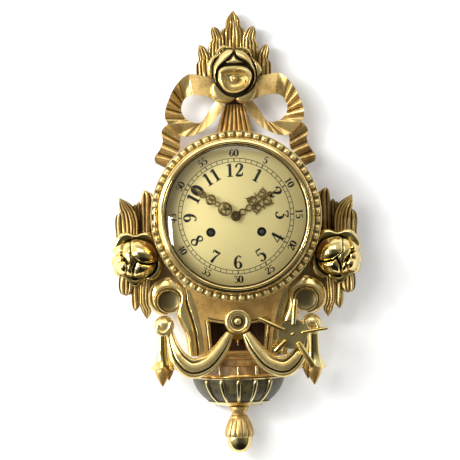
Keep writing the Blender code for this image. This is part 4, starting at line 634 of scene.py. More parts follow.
# A cup step is (share of the inner outline, size, lift, shade); the shade paints the cup's foot and upper inner wall
# darker.
CUP_STEPS = [(0, 1, 0.003, 1), (0, 1, 0.0165, 0.8), (0.12, 1, 0.0195, 0), (0.35, 1, 0.0216, 0),
    (0.65, 1, 0.0228, 0), (0.9, 1, 0.0226, 0), (1, 1, 0.0215, 0.3)]
CUP_STEPS += [(1, s, 0.0125 + 0.0080 * s**3, 0.15 + 0.45 * s**4) for s in spread(14, 0.98, 0.04)]
rings = [middle + (outside * (1 - mix) + inside * mix - middle) * size for mix, size, lift, shade in CUP_STEPS]
lifts = np.array([rose_base + step[2] for step in CUP_STEPS])[:, None] + np.zeros(96)
crest_rose.tube(np.concatenate([np.stack(rings), lifts[..., None]], -1),
    np.array([step[3] for step in CUP_STEPS])[:, None])
dome(crest_rose, rose_at, 0.0072, 0.0020, 0.0005, -0.001, 0.0122)
dome(crest_rose, rose_at, 0.0042, 0.0052, 0.0005, -0.001, 0.0122)
patch(crest_rose, RIGHT, [(11, 183), (14.5, 187), (19.5, 185), (19, 178), (13, 175.5)], flat_ground, 0.0150, 0.0026,
    rose_base, 0.9)
crest_rose.piece("carved_crest_rose", ROSE_GILDING, ["crest_rose"], "gilt_matte")

# %% [markdown]
# The ribbon bow
# The bow is one band of cloth carved in wood, and it turns over as it goes: its top strand lies flat and faces
# the room, the outer bend shows the pleated inside, and the lower corner is one flat facet. A band here lies
# between two edges. Each station gives a point of both edges with its depth and the height of the pleats there,
# so the turning over is a change in which edge lies further out.

# %% The ribbon bow
BOW_LOW, BOW_HIGH = node_box("bow_right")
BOW_DEPTH = (BOW_LOW.z + BOW_HIGH.z) / 2 + 0.002
BAND_THICKNESS = 0.006


def band(carving, side, stations, pleats, count=150):
    """A folded band between two edges.

    A station is (outer across, up, depth; inner across, up, depth; pleat height), in millimetres.
    """
    rows = smooth_path(stations, count) / 1000
    u = spread(17)[None, :, None]
    face = rows[:, None, 0:3] * (1 - u) + rows[:, None, 3:6] * u
    fold = np.abs(np.sin(np.linspace(0, np.pi * pleats, count))) ** 0.75
    height = rows[:, 6:7] * (fold[:, None] - 0.6)
    face[..., 2] += BOW_DEPTH + height
    face[..., 0] *= side
    share = np.clip(rows[:, 6:7] * 800, 0, 1)
    # The pleat valleys are painted darker as shade.
    recess = np.broadcast_to(np.clip(0.8 - fold, 0, 1)[:, None] * share, face.shape[:2])
    carving.shell(face, face - np.array([0, 0, BAND_THICKNESS]), recess)


BOW_LOOP = [
    (26.0, 185.0, 2.0, 16.0, 153.5, 5.0, 0.0), (31.5, 187.8, 2.0, 24.7, 157.2, 6.0, 0.0),
    (44.2, 191.2, 1.5, 40.2, 163.3, 7.0, 0.0),
    (57.8, 193.7, 0.5, 55.5, 164.9, 7.0, 0.0), (61.5, 193.0, 1.0, 58.5, 164.8, 4.0, 0.0),
    (70.3, 187.2, 5.0, 65.4, 162.0, -2.0, 0.6),
    (80.9, 174.4, 7.0, 69.8, 155.6, -4.0, 4.0), (87.9, 159.9, 7.5, 72.0, 147.5, -5.0, 4.8),
    (93.1, 145.3, 7.5, 70.8, 140.3, -5.0, 4.8),
    (93.8, 134.5, 6.0, 66.7, 134.0, -4.0, 3.4), (90.6, 127.5, 4.5, 63.5, 131.2, -1.0, 0.2),
    (88.2, 123.8, 4.0, 60.4, 129.3, 1.0, 0.0),
    (77.2, 112.2, 3.0, 52.2, 126.7, 1.0, 0.0), (74.0, 110.6, 4.0, 50.4, 126.8, -1.0, 0.2),
    (62.7, 108.9, 5.0, 45.0, 128.1, -3.0, 1.4),
    (46.6, 114.5, 5.0, 39.7, 134.5, -3.0, 1.0), (32.3, 124.7, 5.0, 33.6, 144.5, -1.0, 0.2),
    (20.8, 137.5, 5.0, 26.5, 153.6, 1.0, 0.0),
    (13.8, 148.4, 5.0, 20.3, 160.9, 3.0, 0.0),
]
BOW_TAIL = [
    (90.0, 128.0, -6.0, 73.6, 112.0, -6.0, 0.0), (91.0, 126.4, -5.0, 73.6, 109.6, -6.0, 1.0),
    (98.9, 117.3, -5.0, 74.4, 102.4, -7.0, 4.0),
    (97.8, 103.8, -6.0, 75.1, 93.3, -7.0, 5.5), (101.3, 92.9, -6.0, 81.3, 84.2, -7.0, 5.5),
    (108.8, 82.0, -4.0, 88.4, 76.9, -6.0, 5.5),
    (108.2, 73.9, -4.0, 93.6, 66.9, -6.0, 4.0),
]
for side, tag in SIDES:
    bow = Carving()
    band(bow, side, BOW_LOOP, 16, 330)
    band(bow, side, BOW_TAIL, 4)
    bow.piece("carved_bow_" + tag, MATTE_GILDING, ["bow_" + tag], "gilt_matte", "case", 32)

# %% [markdown]
# The gathered neck
# Below the knot the cloth fans out over the top of the ring. The folds are a rounded wave across a sheet
# whose width grows downward.

# %% The gathered neck
NECK_LOW, NECK_HIGH = node_box("neck_pleats")
v, u = np.meshgrid(spread(40), spread(97, -1, 1), indexing="ij")
half = 0.0135 + 0.0125 * v**0.9
fold = np.abs(np.cos(np.pi * 3.5 * u)) ** 0.8
face = np.stack([u * half, NECK_HIGH.y - (NECK_HIGH.y - NECK_LOW.y) * v, 0 * v], -1)
face[..., 2] = NECK_HIGH.z - 0.004 + 0.0035 * fold - 0.006 * u**2 + 0.002 * np.sin(np.pi * v)
rear = face.copy()
rear[..., 2] = NECK_LOW.z
neck = Carving()
# The valleys between the folds are painted darker as shade.
neck.shell(face, rear, (1 - fold) ** 2)
neck.piece("carved_neck_pleats", AGED_GILDING, ["neck_pleats"], "gilt_matte")

# %% [markdown]
# Many of one shape: a Geometry Nodes tree
# The ring's sixty beads, the minute marks and the bowl's rods are each one shape set many times round a
# centre. A small node tree does that: it makes points, moves and turns each by its index, puts the shape on
# them, and realizes the copies. Python only sets the tree's named inputs.

# %% Copies round a centre
def build_copier():
    tree = bpy.data.node_groups.new("copies_round_a_centre", "GeometryNodeTree")
    inputs = {"Geometry": "Geometry", "Shape": "Object", "Count": "Int", "Radius": "Float", "First": "Float",
        "Step": "Float"}
    for name, kind in {**inputs, "Finish": "Material"}.items():
        tree.interface.new_socket(name, in_out="INPUT", socket_type="NodeSocket" + kind)
    tree.interface.new_socket("Geometry", in_out="OUTPUT", socket_type="NodeSocketGeometry")

    def add(kind, settings=None, **sockets):
        made = tree.nodes.new(kind)
        for setting, value in (settings or {}).items():
            setattr(made, setting, value)
        for socket, link in sockets.items():
            key = int(socket[1:]) if socket[0] == "i" and socket[1:].isdigit() else socket.replace("_", " ")
            tree.links.new(link, made.inputs[key])
        return made

    def maths(operation, **sockets):
        return add("ShaderNodeMath", {"operation": operation}, **sockets).outputs[0]

    source = tree.nodes.new("NodeGroupInput").outputs
    index = add("GeometryNodeInputIndex").outputs[0]
    turned = maths("MULTIPLY", i0=index, i1=source["Step"])
    angle = maths("ADD", i0=turned, i1=source["First"])
    x = maths("MULTIPLY", i0=maths("COSINE", i0=angle), i1=source["Radius"])
    y = maths("MULTIPLY", i0=maths("SINE", i0=angle), i1=source["Radius"])
    place = add("ShaderNodeCombineXYZ", X=x, Y=y).outputs[0]
    spin = add("ShaderNodeCombineXYZ", Z=angle).outputs[0]
    points = add("GeometryNodePoints", Count=source["Count"], Position=place).outputs[0]
    shape = add("GeometryNodeObjectInfo", Object=source["Shape"]).outputs["Geometry"]
    copies = add("GeometryNodeInstanceOnPoints", Points=points, Instance=shape, Rotation=spin).outputs[0]
    real = add("GeometryNodeRealizeInstances", Geometry=copies).outputs[0]
    coloured = add("GeometryNodeSetMaterial", Geometry=real, Material=source["Finish"]).outputs[0]
    tree.links.new(coloured, tree.nodes.new("NodeGroupOutput").inputs["Geometry"])
    return tree


COPIER = build_copier()


def copies(shape, count, radius, first, step, material):
    """The plain mesh of count copies of a shape mesh, set in the plane of x and y."""
    pattern = bpy.data.objects.new("pattern", shape)
    carrier = bpy.data.objects.new("carrier", bpy.data.meshes.new("carrier"))
    bpy.context.scene.collection.objects.link(carrier)
    bpy.context.scene.collection.objects.link(pattern)
    modifier = carrier.modifiers.new("copies", "NODES")
    modifier.node_group = COPIER
    values = {"Shape": pattern, "Count": count, "Radius": radius, "First": first, "Step": step, "Finish": material}
    for socket in COPIER.interface.items_tree:
        if socket.in_out == "INPUT" and socket.name in values:
            modifier[socket.identifier] = values[socket.name]
    ready = carrier.evaluated_get(bpy.context.evaluated_depsgraph_get())
    mesh = bpy.data.meshes.new_from_object(ready)
    bpy.data.objects.remove(carrier, do_unlink=True)
    bpy.data.objects.remove(pattern, do_unlink=True)
    return mesh


def to_front(mesh, depth):
    """Stands a mesh made in x and y up against the front, at a depth from the wall."""
    mesh.transform(Matrix(((1, 0, 0, 0), (0, 0, -1, -depth), (0, 1, 0, 0), (0, 0, 0, 1))))
    return mesh


def pillow(length, width, height, power=4.0, rows=9, columns=9):
    """A rounded rectangular pad on x and y, for beads and rods."""
    v, u = np.meshgrid(spread(rows, -1, 1), spread(columns, -1, 1), indexing="ij")
    bulge = (np.clip(1 - np.abs(u) ** power, 0, 1) * np.clip(1 - np.abs(v) ** power, 0, 1)) ** 0.5
    shape = bmesh.new()
    top = [shape.verts.new((length / 2 * a, width / 2 * b, height * c)) for a, b,
        c in zip(u.flat, v.flat, bulge.flat)]
    for row in range(rows - 1):
        for column in range(columns - 1):
            here = row * columns + column
            shape.faces.new([top[i] for i in (here, here + 1, here + columns + 1, here + columns)])
    rim = [edge for edge in shape.edges if edge.is_boundary]
    skirt = bmesh.ops.extrude_edge_only(shape, edges=rim)["geom"]
    for vertex in [item for item in skirt if isinstance(item, bmesh.types.BMVert)]:
        vertex.co.z -= 0.0012
    bmesh.ops.holes_fill(shape, edges=[edge for edge in shape.edges if edge.is_boundary])
    bmesh.ops.recalc_face_normals(shape, faces=shape.faces)
    mesh = bpy.data.meshes.new("pillow")
    shape.to_mesh(mesh)
    shape.free()
    mesh.shade_smooth()
    return mesh


print("copier has", len(COPIER.nodes), "nodes")

# %% [markdown]
# The beaded ring
# A turned ring frames the door, and sixty pads stand on it like pearls pressed a little square. The ring is
# a lathe profile: a rounded outer edge, a sunk track for the beads and a raised inner lip.

# %% The beaded ring
BEAD_COUNT = 60
ring_back, ring_face = RING_LOW.z, RING_HIGH.z - 0.002
r = RING_RADIUS
RING_PROFILE = [
    (r - 0.019, ring_back), (r - 0.019, ring_face - 0.001), (r - 0.0182, ring_face), (r - 0.0105, ring_face),
    (r - 0.0098, ring_face - 0.0016), (r - 0.0012, ring_face - 0.0020), (r - 0.0004, ring_face - 0.0028),
    (r, ring_face - 0.005), (r - 0.0006, ring_back + 0.003), (r - 0.004, ring_back), (r - 0.019, ring_back),
]
ring = Carving()
# The sunk track is painted darker, as the shade between the beads.
track = lambda radius, height, angle: (radius, 0.62 * ((radius > r - 0.0103) & (radius < r - 0.0011)))
ring.turned(RING_PROFILE, 180, wave=track)
ring.piece("turned_ring", SATIN_GILDING, ["beaded_ring"], "gilt_bright")
bead = pillow(0.0074, 0.0086, 0.0048, 2.8)
beads = copies(bead, BEAD_COUNT, r - 0.0055, math.pi / BEAD_COUNT, 2 * math.pi / BEAD_COUNT, BEAD_GILDING)
dress(to_front(beads, ring_face - 0.0020), "ring_beads", BEAD_GILDING, [])

# %% [markdown]
# The brass door ring and its glass
# The door is a turned brass ring that holds a domed glass. The ring's face is flat beside the glass and slopes
# more and more towards its outer edge, so it mirrors first the dark room and then the window or the ceiling.
# Two fine grooves are turned in it. The glass mixes a clear and a mirror shader by the angle of view, as thin
# glass does, so the dial below keeps its light.

# %% The door
b = BEZEL_RADIUS
back, face_depth = BEZEL_LOW.z, BEZEL_HIGH.z
BEZEL_PROFILE = [(b - 0.0102, back), (b - 0.0102, face_depth - 0.0030), (b - 0.0098, face_depth - 0.0014),
    (b - 0.0090, face_depth - 0.0003), (b - 0.0080, face_depth)]
groove = lambda s: math.exp(-(((s - 0.16) / 0.05) ** 2)) + math.exp(-(((s - 0.84) / 0.05) ** 2))
BEZEL_PROFILE += [(b - 0.0080 + 0.0066 * s, face_depth - 0.0023 * s**2 - 0.0005 * groove(s))
    for s in spread(40, 0.04, 1)]
BEZEL_PROFILE += [(b - 0.0011, face_depth - 0.0028), (b - 0.0004, face_depth - 0.0040), (b, face_depth - 0.0060)]
BEZEL_PROFILE += [(b, back + 0.001), (b - 0.0006, back), (b - 0.0102, back)]
door = Carving()
door.turned(BEZEL_PROFILE, 180)
hinge = node_middle("hinge_pin")
for low, high in ((-0.0118, -0.0042), (0.0042, 0.0118)):
    barrel = [(0.0002, low), (0.0020, low), (0.0022, low + 0.0003), (0.0022, high - 0.0003), (0.0020, high),
        (0.0002, high)]
    door.turned(barrel, 24, hinge.x, 0.0, hinge.z, True)
door.piece("turned_door_bezel", BEZEL_BRASS, ["door_bezel"], "brass", "door")
SEAL = Finish("black_seal", Roughness=0.5)
SEAL.feed(Base_Color=SEAL.blend(SEAL.noise(150.0), rgb(16, 15, 13), rgb(34, 31, 26)))
seal = Carving()
edge = b - 0.0102
seal.turned([(edge, back + 0.0005), (edge, face_depth - 0.0054), (edge - 0.0014, face_depth - 0.0060),
    (edge - 0.0016, back + 0.0005), (edge, back + 0.0005)], 160)
seal.piece("glass_seal", SEAL.material, [], "brass", "door")


def clear_glass(name):
    finish = Finish(name, Roughness=0.02, Metallic=0.0)
    clear = finish.node("ShaderNodeBsdfTransparent", {}, {"Color": (0.985, 0.99, 0.98, 1)})
    mirror = finish.node("ShaderNodeBsdfGlossy", {}, {"Roughness": 0.02})
    smears = finish.noise(60.0, 3.0)
    fresnel = finish.node("ShaderNodeFresnel", {}, {"IOR": 1.45}) * (0.75 + smears * 0.2)
    return finish.show(finish.mixed(fresnel, clear, mirror))


GLASS = clear_glass("clock_glass")
glass_radius = GLASS_HIGH.x
rise = GLASS_HIGH.z - GLASS_LOW.z - 0.0012
sphere = (glass_radius**2 + rise**2) / (2 * rise)
outside = [
    (glass_radius * s, GLASS_HIGH.z - sphere + math.sqrt(sphere**2 - (glass_radius * s) ** 2))
    for s in spread(40, 0.001, 1)
]
inside = [(radius, height - 0.0012) for radius, height in reversed(outside)]
glass = Carving()
glass.turned(outside + inside, 120)
glass.piece("domed_glass", GLASS, ["door_glass"], "glass", "door", 60)

# %% [markdown]
# The dial plate
# The dial is thin sheet, painted cream and lacquered. Towards the rim, most at the left, it is painted darker and
# browner as the shade that the door ring throws on it, and small clouds vary its tone. The plate is a filled
# outline with holes for the winding squares and hands.

# %% The dial plate
HOLE_RADIUS = 0.0062
PLATE_THICKNESS = 0.001
WINDING_HOLES = [(side * 0.0339, -0.0213) for side in (LEFT, RIGHT)]


def round_outline(sheet, across, up, radius, count):
    made = [
        sheet.verts.new((across + radius * math.cos(a), 0, up + radius * math.sin(a)))
        for a in spread(count + 1, 0, 2 * math.pi)[:-1]
    ]
    return [sheet.edges.new((made[i - 1], made[i])) for i in range(count)]


def dial_paint():
    finish = Finish("dial_paint", Coat_Weight=0.25, Coat_Roughness=0.15)
    here = finish.node("ShaderNodeTexCoord", {}, {}, "Object")
    parts = finish.node("ShaderNodeSeparateXYZ", {}, {0: here}, "X")
    rim = (axis_distance(finish) / DIAL_RADIUS).between(0.72, 1.04)
    clouds = finish.noise(22.0, 4.0)
    leftness = (0.0 - parts).between(0.02, DIAL_RADIUS)
    # Painted shade: darker and browner towards the rim, most at the left, with clouds of random tone.
    painted_rim_shade_and_clouds = rim * (0.05 + leftness * 0.80) + clouds * 0.12 - 0.05
    colour = finish.blend(painted_rim_shade_and_clouds, rgb(252, 233, 164), rgb(160, 138, 88))
    specks = finish.noise(700.0, 2.0).between(0.70, 0.78)
    colour = finish.blend(specks * 0.35, colour, rgb(120, 96, 60))
    finish.feed(Base_Color=colour, Roughness=0.38 + clouds * 0.2)
    return finish.material


DIAL_PAINT = dial_paint()
plate = bmesh.new()
edges = round_outline(plate, 0, 0, DIAL_RADIUS, 180) + round_outline(plate, 0, 0, 0.0038, 32)
for across, up in WINDING_HOLES:
    edges += round_outline(plate, across, up, HOLE_RADIUS, 48)
bmesh.ops.triangle_fill(plate, use_beauty=True, edges=edges)
raised = bmesh.ops.extrude_face_region(plate, geom=plate.faces[:])["geom"]
for vertex in [item for item in raised if isinstance(item, bmesh.types.BMVert)]:
    vertex.co.y -= PLATE_THICKNESS
for vertex in plate.verts:
    vertex.co.y -= DIAL_FACE - PLATE_THICKNESS
bmesh.ops.recalc_face_normals(plate, faces=plate.faces)
dial_mesh = bpy.data.meshes.new("dial")
plate.to_mesh(dial_mesh)
plate.free()
dress(dial_mesh, "painted_dial", DIAL_PAINT, ["dial"])
fittings = Carving()
for side in (LEFT, RIGHT):
    for up in (node_middle("upper_pillar_left").y, node_middle("lower_pillar_left").y):
        across = side * node_middle("upper_pillar_right").x
        foot = [(0.0003, DIAL_LOW.z), (0.0028, DIAL_LOW.z), (0.0030, DIAL_LOW.z + 0.0003),
            (0.0030, DIAL_FACE - 0.0006), (0.0003, DIAL_FACE - 0.0006)]
        fittings.turned(foot, 24, across, up)
fittings.piece("dial_feet", MOVEMENT_BRASS, [], "cream_dial")
# Short black rings behind the winding holes make the holes dark: they stand for the shade inside the clock.
hole_shades = Carving()
deep, shallow = DIAL_FACE - 0.0040, DIAL_FACE - 0.0010
for across, up in WINDING_HOLES:
    hole_shades.turned([(0.0036, deep), (0.0072, deep), (0.0072, shallow), (0.0064, shallow), (0.0062, deep + 0.0008),
        (0.0036, deep + 0.0008), (0.0036, deep)], 48, across, up)
HOLE_SHADE = Finish("black_hole_shade", Roughness=0.7)
HOLE_SHADE.feed(Base_Color=HOLE_SHADE.blend(HOLE_SHADE.noise(200.0), rgb(14, 13, 11), rgb(26, 24, 20)))
hole_shades.piece("winding_hole_liners", HOLE_SHADE.material, [], "cream_dial")

# %% [markdown]
# Numerals
# The figures are printed in a bold old style with thick uprights and hairline turns. Each digit is a few
# pen strokes: a path through points that also carry the pen's half width. A number is set with its foot
# towards the dial's middle in the upper half, and the other way up in the lower half so that it reads upright.

# %% Numerals
INK = Finish("printing_ink", Roughness=0.45)
INK.feed(Base_Color=INK.blend(INK.noise(240.0, 3.0).between(0.5, 0.75), rgb(20, 18, 14), rgb(44, 38, 28)))
ROUND = [(0.34 - 0.26 * math.sin(a), 0.5 + 0.5 * math.cos(a), 0.03 + 0.085 * abs(math.sin(a)))
    for a in spread(25, 0, 2 * math.pi)]
SIX = [(0.58, 0.86, 0.07), (0.50, 0.97, 0.04), (0.38, 0.99, 0.035), (0.20, 0.78, 0.075), (0.13, 0.42, 0.095)]
SIX += [(0.19, 0.12, 0.07), (0.36, 0.0, 0.035), (0.55, 0.13, 0.08), (0.58, 0.32, 0.085), (0.42, 0.54, 0.035),
    (0.2, 0.4, 0.03)]
DIGITS = {
    "0": [ROUND],
    "1": [[(0.34, 0.0, 0.09), (0.34, 1.0, 0.09)], [(0.10, 0.84, 0.03), (0.32, 0.98, 0.05)],
        [(0.12, 0.0, 0.03), (0.56, 0.0, 0.03)]],
    "2": [[(0.13, 0.70, 0.075), (0.17, 0.88, 0.05), (0.38, 1.0, 0.035), (0.58, 0.86, 0.08), (0.57, 0.66, 0.09),
        (0.36, 0.36, 0.06), (0.10, 0.07, 0.04)],
          [(0.09, 0.06, 0.06), (0.40, 0.05, 0.085), (0.60, 0.10, 0.05), (0.64, 0.28, 0.03)]],
    "3": [[(0.10, 0.80, 0.03), (0.13, 0.96, 0.04), (0.58, 0.96, 0.045)], [(0.58, 0.96, 0.03), (0.30, 0.60, 0.03)],
          [(0.30, 0.60, 0.03), (0.50, 0.56, 0.06), (0.60, 0.34, 0.095), (0.52, 0.08, 0.06), (0.30, 0.0, 0.035),
              (0.12, 0.14, 0.07)]],
    "4": [[(0.46, 0.0, 0.085), (0.46, 1.0, 0.085)], [(0.44, 0.99, 0.03), (0.04, 0.30, 0.03)],
        [(0.02, 0.29, 0.035), (0.66, 0.29, 0.035)],
          [(0.28, 0.0, 0.03), (0.64, 0.0, 0.03)]],
    "5": [[(0.58, 0.96, 0.05), (0.16, 0.95, 0.05)], [(0.16, 0.95, 0.03), (0.13, 0.52, 0.03)],
          [(0.13, 0.52, 0.03), (0.34, 0.62, 0.04), (0.57, 0.44, 0.09), (0.55, 0.16, 0.08), (0.32, 0.0, 0.035),
              (0.12, 0.14, 0.07)]],
    "6": [SIX],
    "7": [[(0.08, 0.72, 0.03), (0.11, 0.95, 0.05), (0.36, 0.92, 0.075), (0.62, 0.97, 0.04)],
        [(0.61, 0.96, 0.03), (0.40, 0.50, 0.06), (0.30, 0.0, 0.10)]],
    "8": [[(0.34, 1.0, 0.03), (0.15, 0.86, 0.07), (0.22, 0.64, 0.08), (0.46, 0.42, 0.08), (0.58, 0.2, 0.06),
        (0.34, 0.0, 0.03), (0.10, 0.2, 0.06),
           (0.24, 0.46, 0.04), (0.46, 0.64, 0.04), (0.53, 0.86, 0.05), (0.34, 1.0, 0.03)]],
    "9": [[(0.68 - x, 1.0 - y, w) for x, y, w in SIX]],
}
DIAL_TURN = math.radians(1.3)


def stroke(carving, points, place, low, high, count=28, crown=0.0):
    """A flat pen stroke between two depths; crown raises its middle."""
    rows = smooth_path(points, count)
    run = np.gradient(rows[:, :2], axis=0)
    run /= np.linalg.norm(run, axis=1, keepdims=True) + 1e-9
    right = np.stack([run[:, 1], -run[:, 0]], -1)
    u = spread(5, -1, 1)
    flat = rows[:, None, :2] + right[:, None, :] * (rows[:, 2:3] * u[None, :])[..., None]
    rise = high + crown * hill(u, 2.0)[None, :] * np.ones((count, 1))
    carving.shell(place(flat[..., 0], flat[..., 1], rise), place(flat[..., 0], flat[..., 1], 0 * rise + low))


def number(carving, text, clockwise, radius, height, weight):
    """A number on the dial; clockwise is its angle in degrees from twelve."""
    advance = 0.70
    turn = math.radians(-clockwise) + DIAL_TURN
    inward = 1 if math.cos(math.radians(clockwise)) > -0.2 else -1
    for order, digit in enumerate(text):
        shift = (order - len(text) / 2) * advance + 0.01

        def place(x, y, z):
            across = inward * (x + shift) * height
            up = radius + inward * (y - 0.5) * height
            return np.stack([across * math.cos(turn) - up * math.sin(turn),
                across * math.sin(turn) + up * math.cos(turn), z], -1)

        for points in DIGITS[digit]:
            bold = [(x, y, w * weight) for x, y, w in points]
            stroke(carving, bold, place, DIAL_FACE - 0.0002, DIAL_FACE + 0.00008)


figures = Carving()
for hour in range(1, 13):
    number(figures, str(hour), hour * 30, 0.0615, 0.0168, 1.25)
    number(figures, str(hour * 5), hour * 30, 0.0843, 0.0090, 1.3)
figures.piece("dial_numerals", INK.material, [], "cream_dial")

# %% [markdown]
# The minute track
# Two hairlines run round between the figures, with a mark for each minute and a heavier one every five.

# %% The minute track
TRACK = (0.0725, 0.0773)
track = Carving()
for radius in TRACK:
    low, high = DIAL_FACE - 0.0002, DIAL_FACE + 0.00007
    track.turned([(radius - 0.0004, low), (radius - 0.0004, high), (radius + 0.0004, high), (radius + 0.0004, low),
        (radius - 0.0004, low)], 180)
track.piece("track_lines", INK.material, [], "cream_dial")
for name, count, width in (("minute_marks", 60, 0.0009), ("five_minute_marks", 12, 0.0016)):
    mark = pillow(TRACK[1] - TRACK[0], width, 0.00006, 12.0, 3, 3)
    marks = copies(mark, count, sum(TRACK) / 2, DIAL_TURN + math.pi / 2, 2 * math.pi / count, INK.material)
    dress(to_front(marks, DIAL_FACE), name, INK.material, [])

# %% [markdown]
# The hands
# Both hands are pierced and engraved brass, sawn from sheet into loops and scrolls. A scroll is a bent wire,
# so the same pen stroke draws it with a rounded top. The hour hand has a square knot of four loops and the
# minute hand a chain of rings, and both end in a leaf-shaped point.

# %% The hands
MINUTE_ANGLE = math.radians(-56.5)
HOUR_ANGLE = math.radians(58.0)


def hand_place(angle):
    """(along the hand, sideways) in the front's directions, with the angle clockwise from twelve."""

    def place(along, aside, z):
        across = along * math.sin(angle) + aside * math.cos(angle)
        up = along * math.cos(angle) - aside * math.sin(angle)
        return np.stack([across, up, z], -1)

    return place


def loop(along, aside, reach, wide, wire, turns=1.0, start=0.0, close=0.0):
    """A ring or spiral of wire round a middle."""
    return [
        (along + reach * (1 - close * s) * math.cos(start + 2 * math.pi * turns * s),
         aside + wide * (1 - close * s) * math.sin(start + 2 * math.pi * turns * s), wire)
        for s in spread(29)
    ]


def twist(start, end, swing, waves, wire, sign):
    return [
        (start + (end - start) * s, sign * swing * math.sin(math.pi * waves * s), wire) for s in spread(33)
    ]


def hand(carving, angle, low, high, strokes, tip, collet):
    place = hand_place(angle)
    for points in strokes:
        stroke(carving, [(a, b, 1.15 * w) for a, b, w in points], place, low, high, 44, 0.0005)
    stroke(carving, tip, place, low, high, 30, 0.0004)
    ring_points = [(collet, low), (collet, high), (collet - 0.001, high + 0.0012), (0.0036, high + 0.0014),
        (0.0036, low), (collet, low)]
    carving.turned(ring_points, 40)


HAND_THICKNESS = 0.0006
hour_low, minute_low = (node_box(name)[0].z for name in ("hour_hand", "minute_hand"))
hour_strokes = []
minute_strokes = []
for sign in (LEFT, RIGHT):
    hour_strokes += [twist(0.005, 0.0255, 0.0038, 2, 0.0008, sign)]
    hour_strokes += [loop(0.0305, sign * 0.0058, 0.0053, 0.0052, 0.0007, 1.5, math.pi, 0.55)]
    hour_strokes += [loop(0.0440, sign * 0.0058, 0.0053, 0.0052, 0.0007, 1.5, 0.0, 0.55)]
    hour_strokes += [[(0.0235, sign * 0.001, 0.0006), (0.0255, sign * 0.0110, 0.0008),
        (0.0372, sign * 0.0080, 0.0007), (0.0487, sign * 0.0110, 0.0008), (0.0517, sign * 0.0008, 0.0006)]]
    hour_strokes += [[(0.0255, sign * 0.0102, 0.0010), (0.0235, sign * 0.0134, 0.0004)],
        [(0.0487, sign * 0.0102, 0.0010), (0.0512, sign * 0.0134, 0.0004)]]
    hour_strokes += [[(0.0372, sign * 0.0072, 0.0010), (0.0372, sign * 0.0134, 0.0004)]]
    minute_strokes += [loop(0.0172, sign * 0.0042, 0.0060, 0.0041, 0.0008, 1.6, math.pi, 0.6)]
    minute_strokes += [twist(0.0255, 0.0335, 0.0028, 1, 0.0007, sign),
        twist(0.0325, 0.0475, 0.0066, 1, 0.0008, sign), twist(0.0465, 0.0600, 0.0042, 1, 0.0007, sign)]
    minute_strokes += [loop(0.0395, sign * 0.0030, 0.0050, 0.0030, 0.0007, 1.4, math.pi, 0.5),
        loop(0.0525, sign * 0.0019, 0.0034, 0.0018, 0.0006, 1.4, math.pi, 0.4)]
minute_strokes += [loop(0.0175, 0.0, 0.0088, 0.0084, 0.0009)]
hour_hand = Carving()
hour_tip = [(0.024, 0, 0.0009), (0.037, 0, 0.0014), (0.050, 0, 0.0010), (0.0545, 0, 0.0022), (0.058, 0, 0.0011),
    (0.0655, 0, 0.0003)]
hand(hour_hand, HOUR_ANGLE, hour_low, hour_low + HAND_THICKNESS, hour_strokes, hour_tip, 0.007)
hour_hand.piece("pierced_hour_hand", HAND_BRASS, ["hour_hand"], "antique_brass", "hour_hand")
minute_hand = Carving()
minute_tip = [(0.046, 0, 0.0008), (0.053, 0, 0.0010), (0.060, 0, 0.0011), (0.0655, 0, 0.0018), (0.070, 0, 0.0012),
    (0.077, 0, 0.0003)]
hand(minute_hand, MINUTE_ANGLE, minute_low, minute_low + HAND_THICKNESS, minute_strokes, minute_tip, 0.0062)
minute_hand.piece("pierced_minute_hand", HAND_BRASS, ["minute_hand"], "antique_brass", "minute_hand")

# %% [markdown]
# The side roses
# These turn away to the sides, so the room sees the round of a bud: petals wrap it with dark gaps between them,
# and wide petals with wavy lips lie behind. The bud is a round ground, its petals are patches on that ground, and
# the wide ones are pads with a broad inner edge. The darkness of the gaps and of the pads' inner edges is painted
# shade. One side is the other one mirrored.

# %% The side roses
BUD_AT = (0.1340, -0.0550)
BUD_PETALS = [
    ([(149, -31), (157, -30), (164, -35), (167, -43), (164.5, -49), (157, -50), (152, -47), (151, -38)], 0.000,
        0.0075, 0.5),
    ([(150, -52), (156, -49), (163, -48), (168, -54), (168, -62), (164, -68), (156, -64), (150, -59)], -0.001,
        0.0070, 0.5),
    ([(145, -64), (150, -57.5), (158, -58), (164.5, -63), (166, -70), (162, -78), (153, -79.5), (147, -76)], 0.002,
        0.0085, 0.5),
    ([(139, -69), (144, -62), (148, -64), (149.5, -73), (147, -79.5), (140, -81.5), (138.5, -75)], 0.000, 0.0040,
        0.9),
    ([(141.5, -31), (148, -30.5), (154, -36), (155, -45), (150.5, -53), (145, -60), (139.5, -68.5), (136, -62),
        (134, -57), (140.5, -50), (141, -40)], 0.0000, 0.0040, 0.9),
    ([(108, -61), (117, -62.5), (127, -61), (133, -58.5), (137, -67), (138.5, -74), (139, -80), (130, -81.5),
        (121, -80), (113, -74.5), (109, -67)], 0.0005, 0.0050, 1.0),
    ([(105, -57), (105.5, -48), (110, -38.5), (118, -31.5), (128, -28.3), (137, -28.3), (142, -31), (142, -40),
        (141, -50), (134, -56), (127, -60), (117, -61.8), (109, -60.5)], 0.0020, 0.0060, 1.0),
]
BUD_OUTER = [
    [(20, 24, 33), (28, 24, 36), (42, 25, 38), (58, 26, 40), (70, 26, 38), (81, 26, 33), (92, 26, 32.4),
        (104, 26, 36.6), (116, 26, 39), (128, 26, 38), (142, 26, 33)],
    [(172, 26, 29), (185, 26, 32.6), (201, 26, 36.4), (216, 27, 37.2), (232, 27, 36), (246, 27, 31)],
    [(243, 24, 30), (254, 24, 31), (263, 24, 33), (270, 24, 37), (279, 24, 37), (291, 24, 33), (305, 23, 31),
        (318, 23, 34), (330, 22, 30)],
]


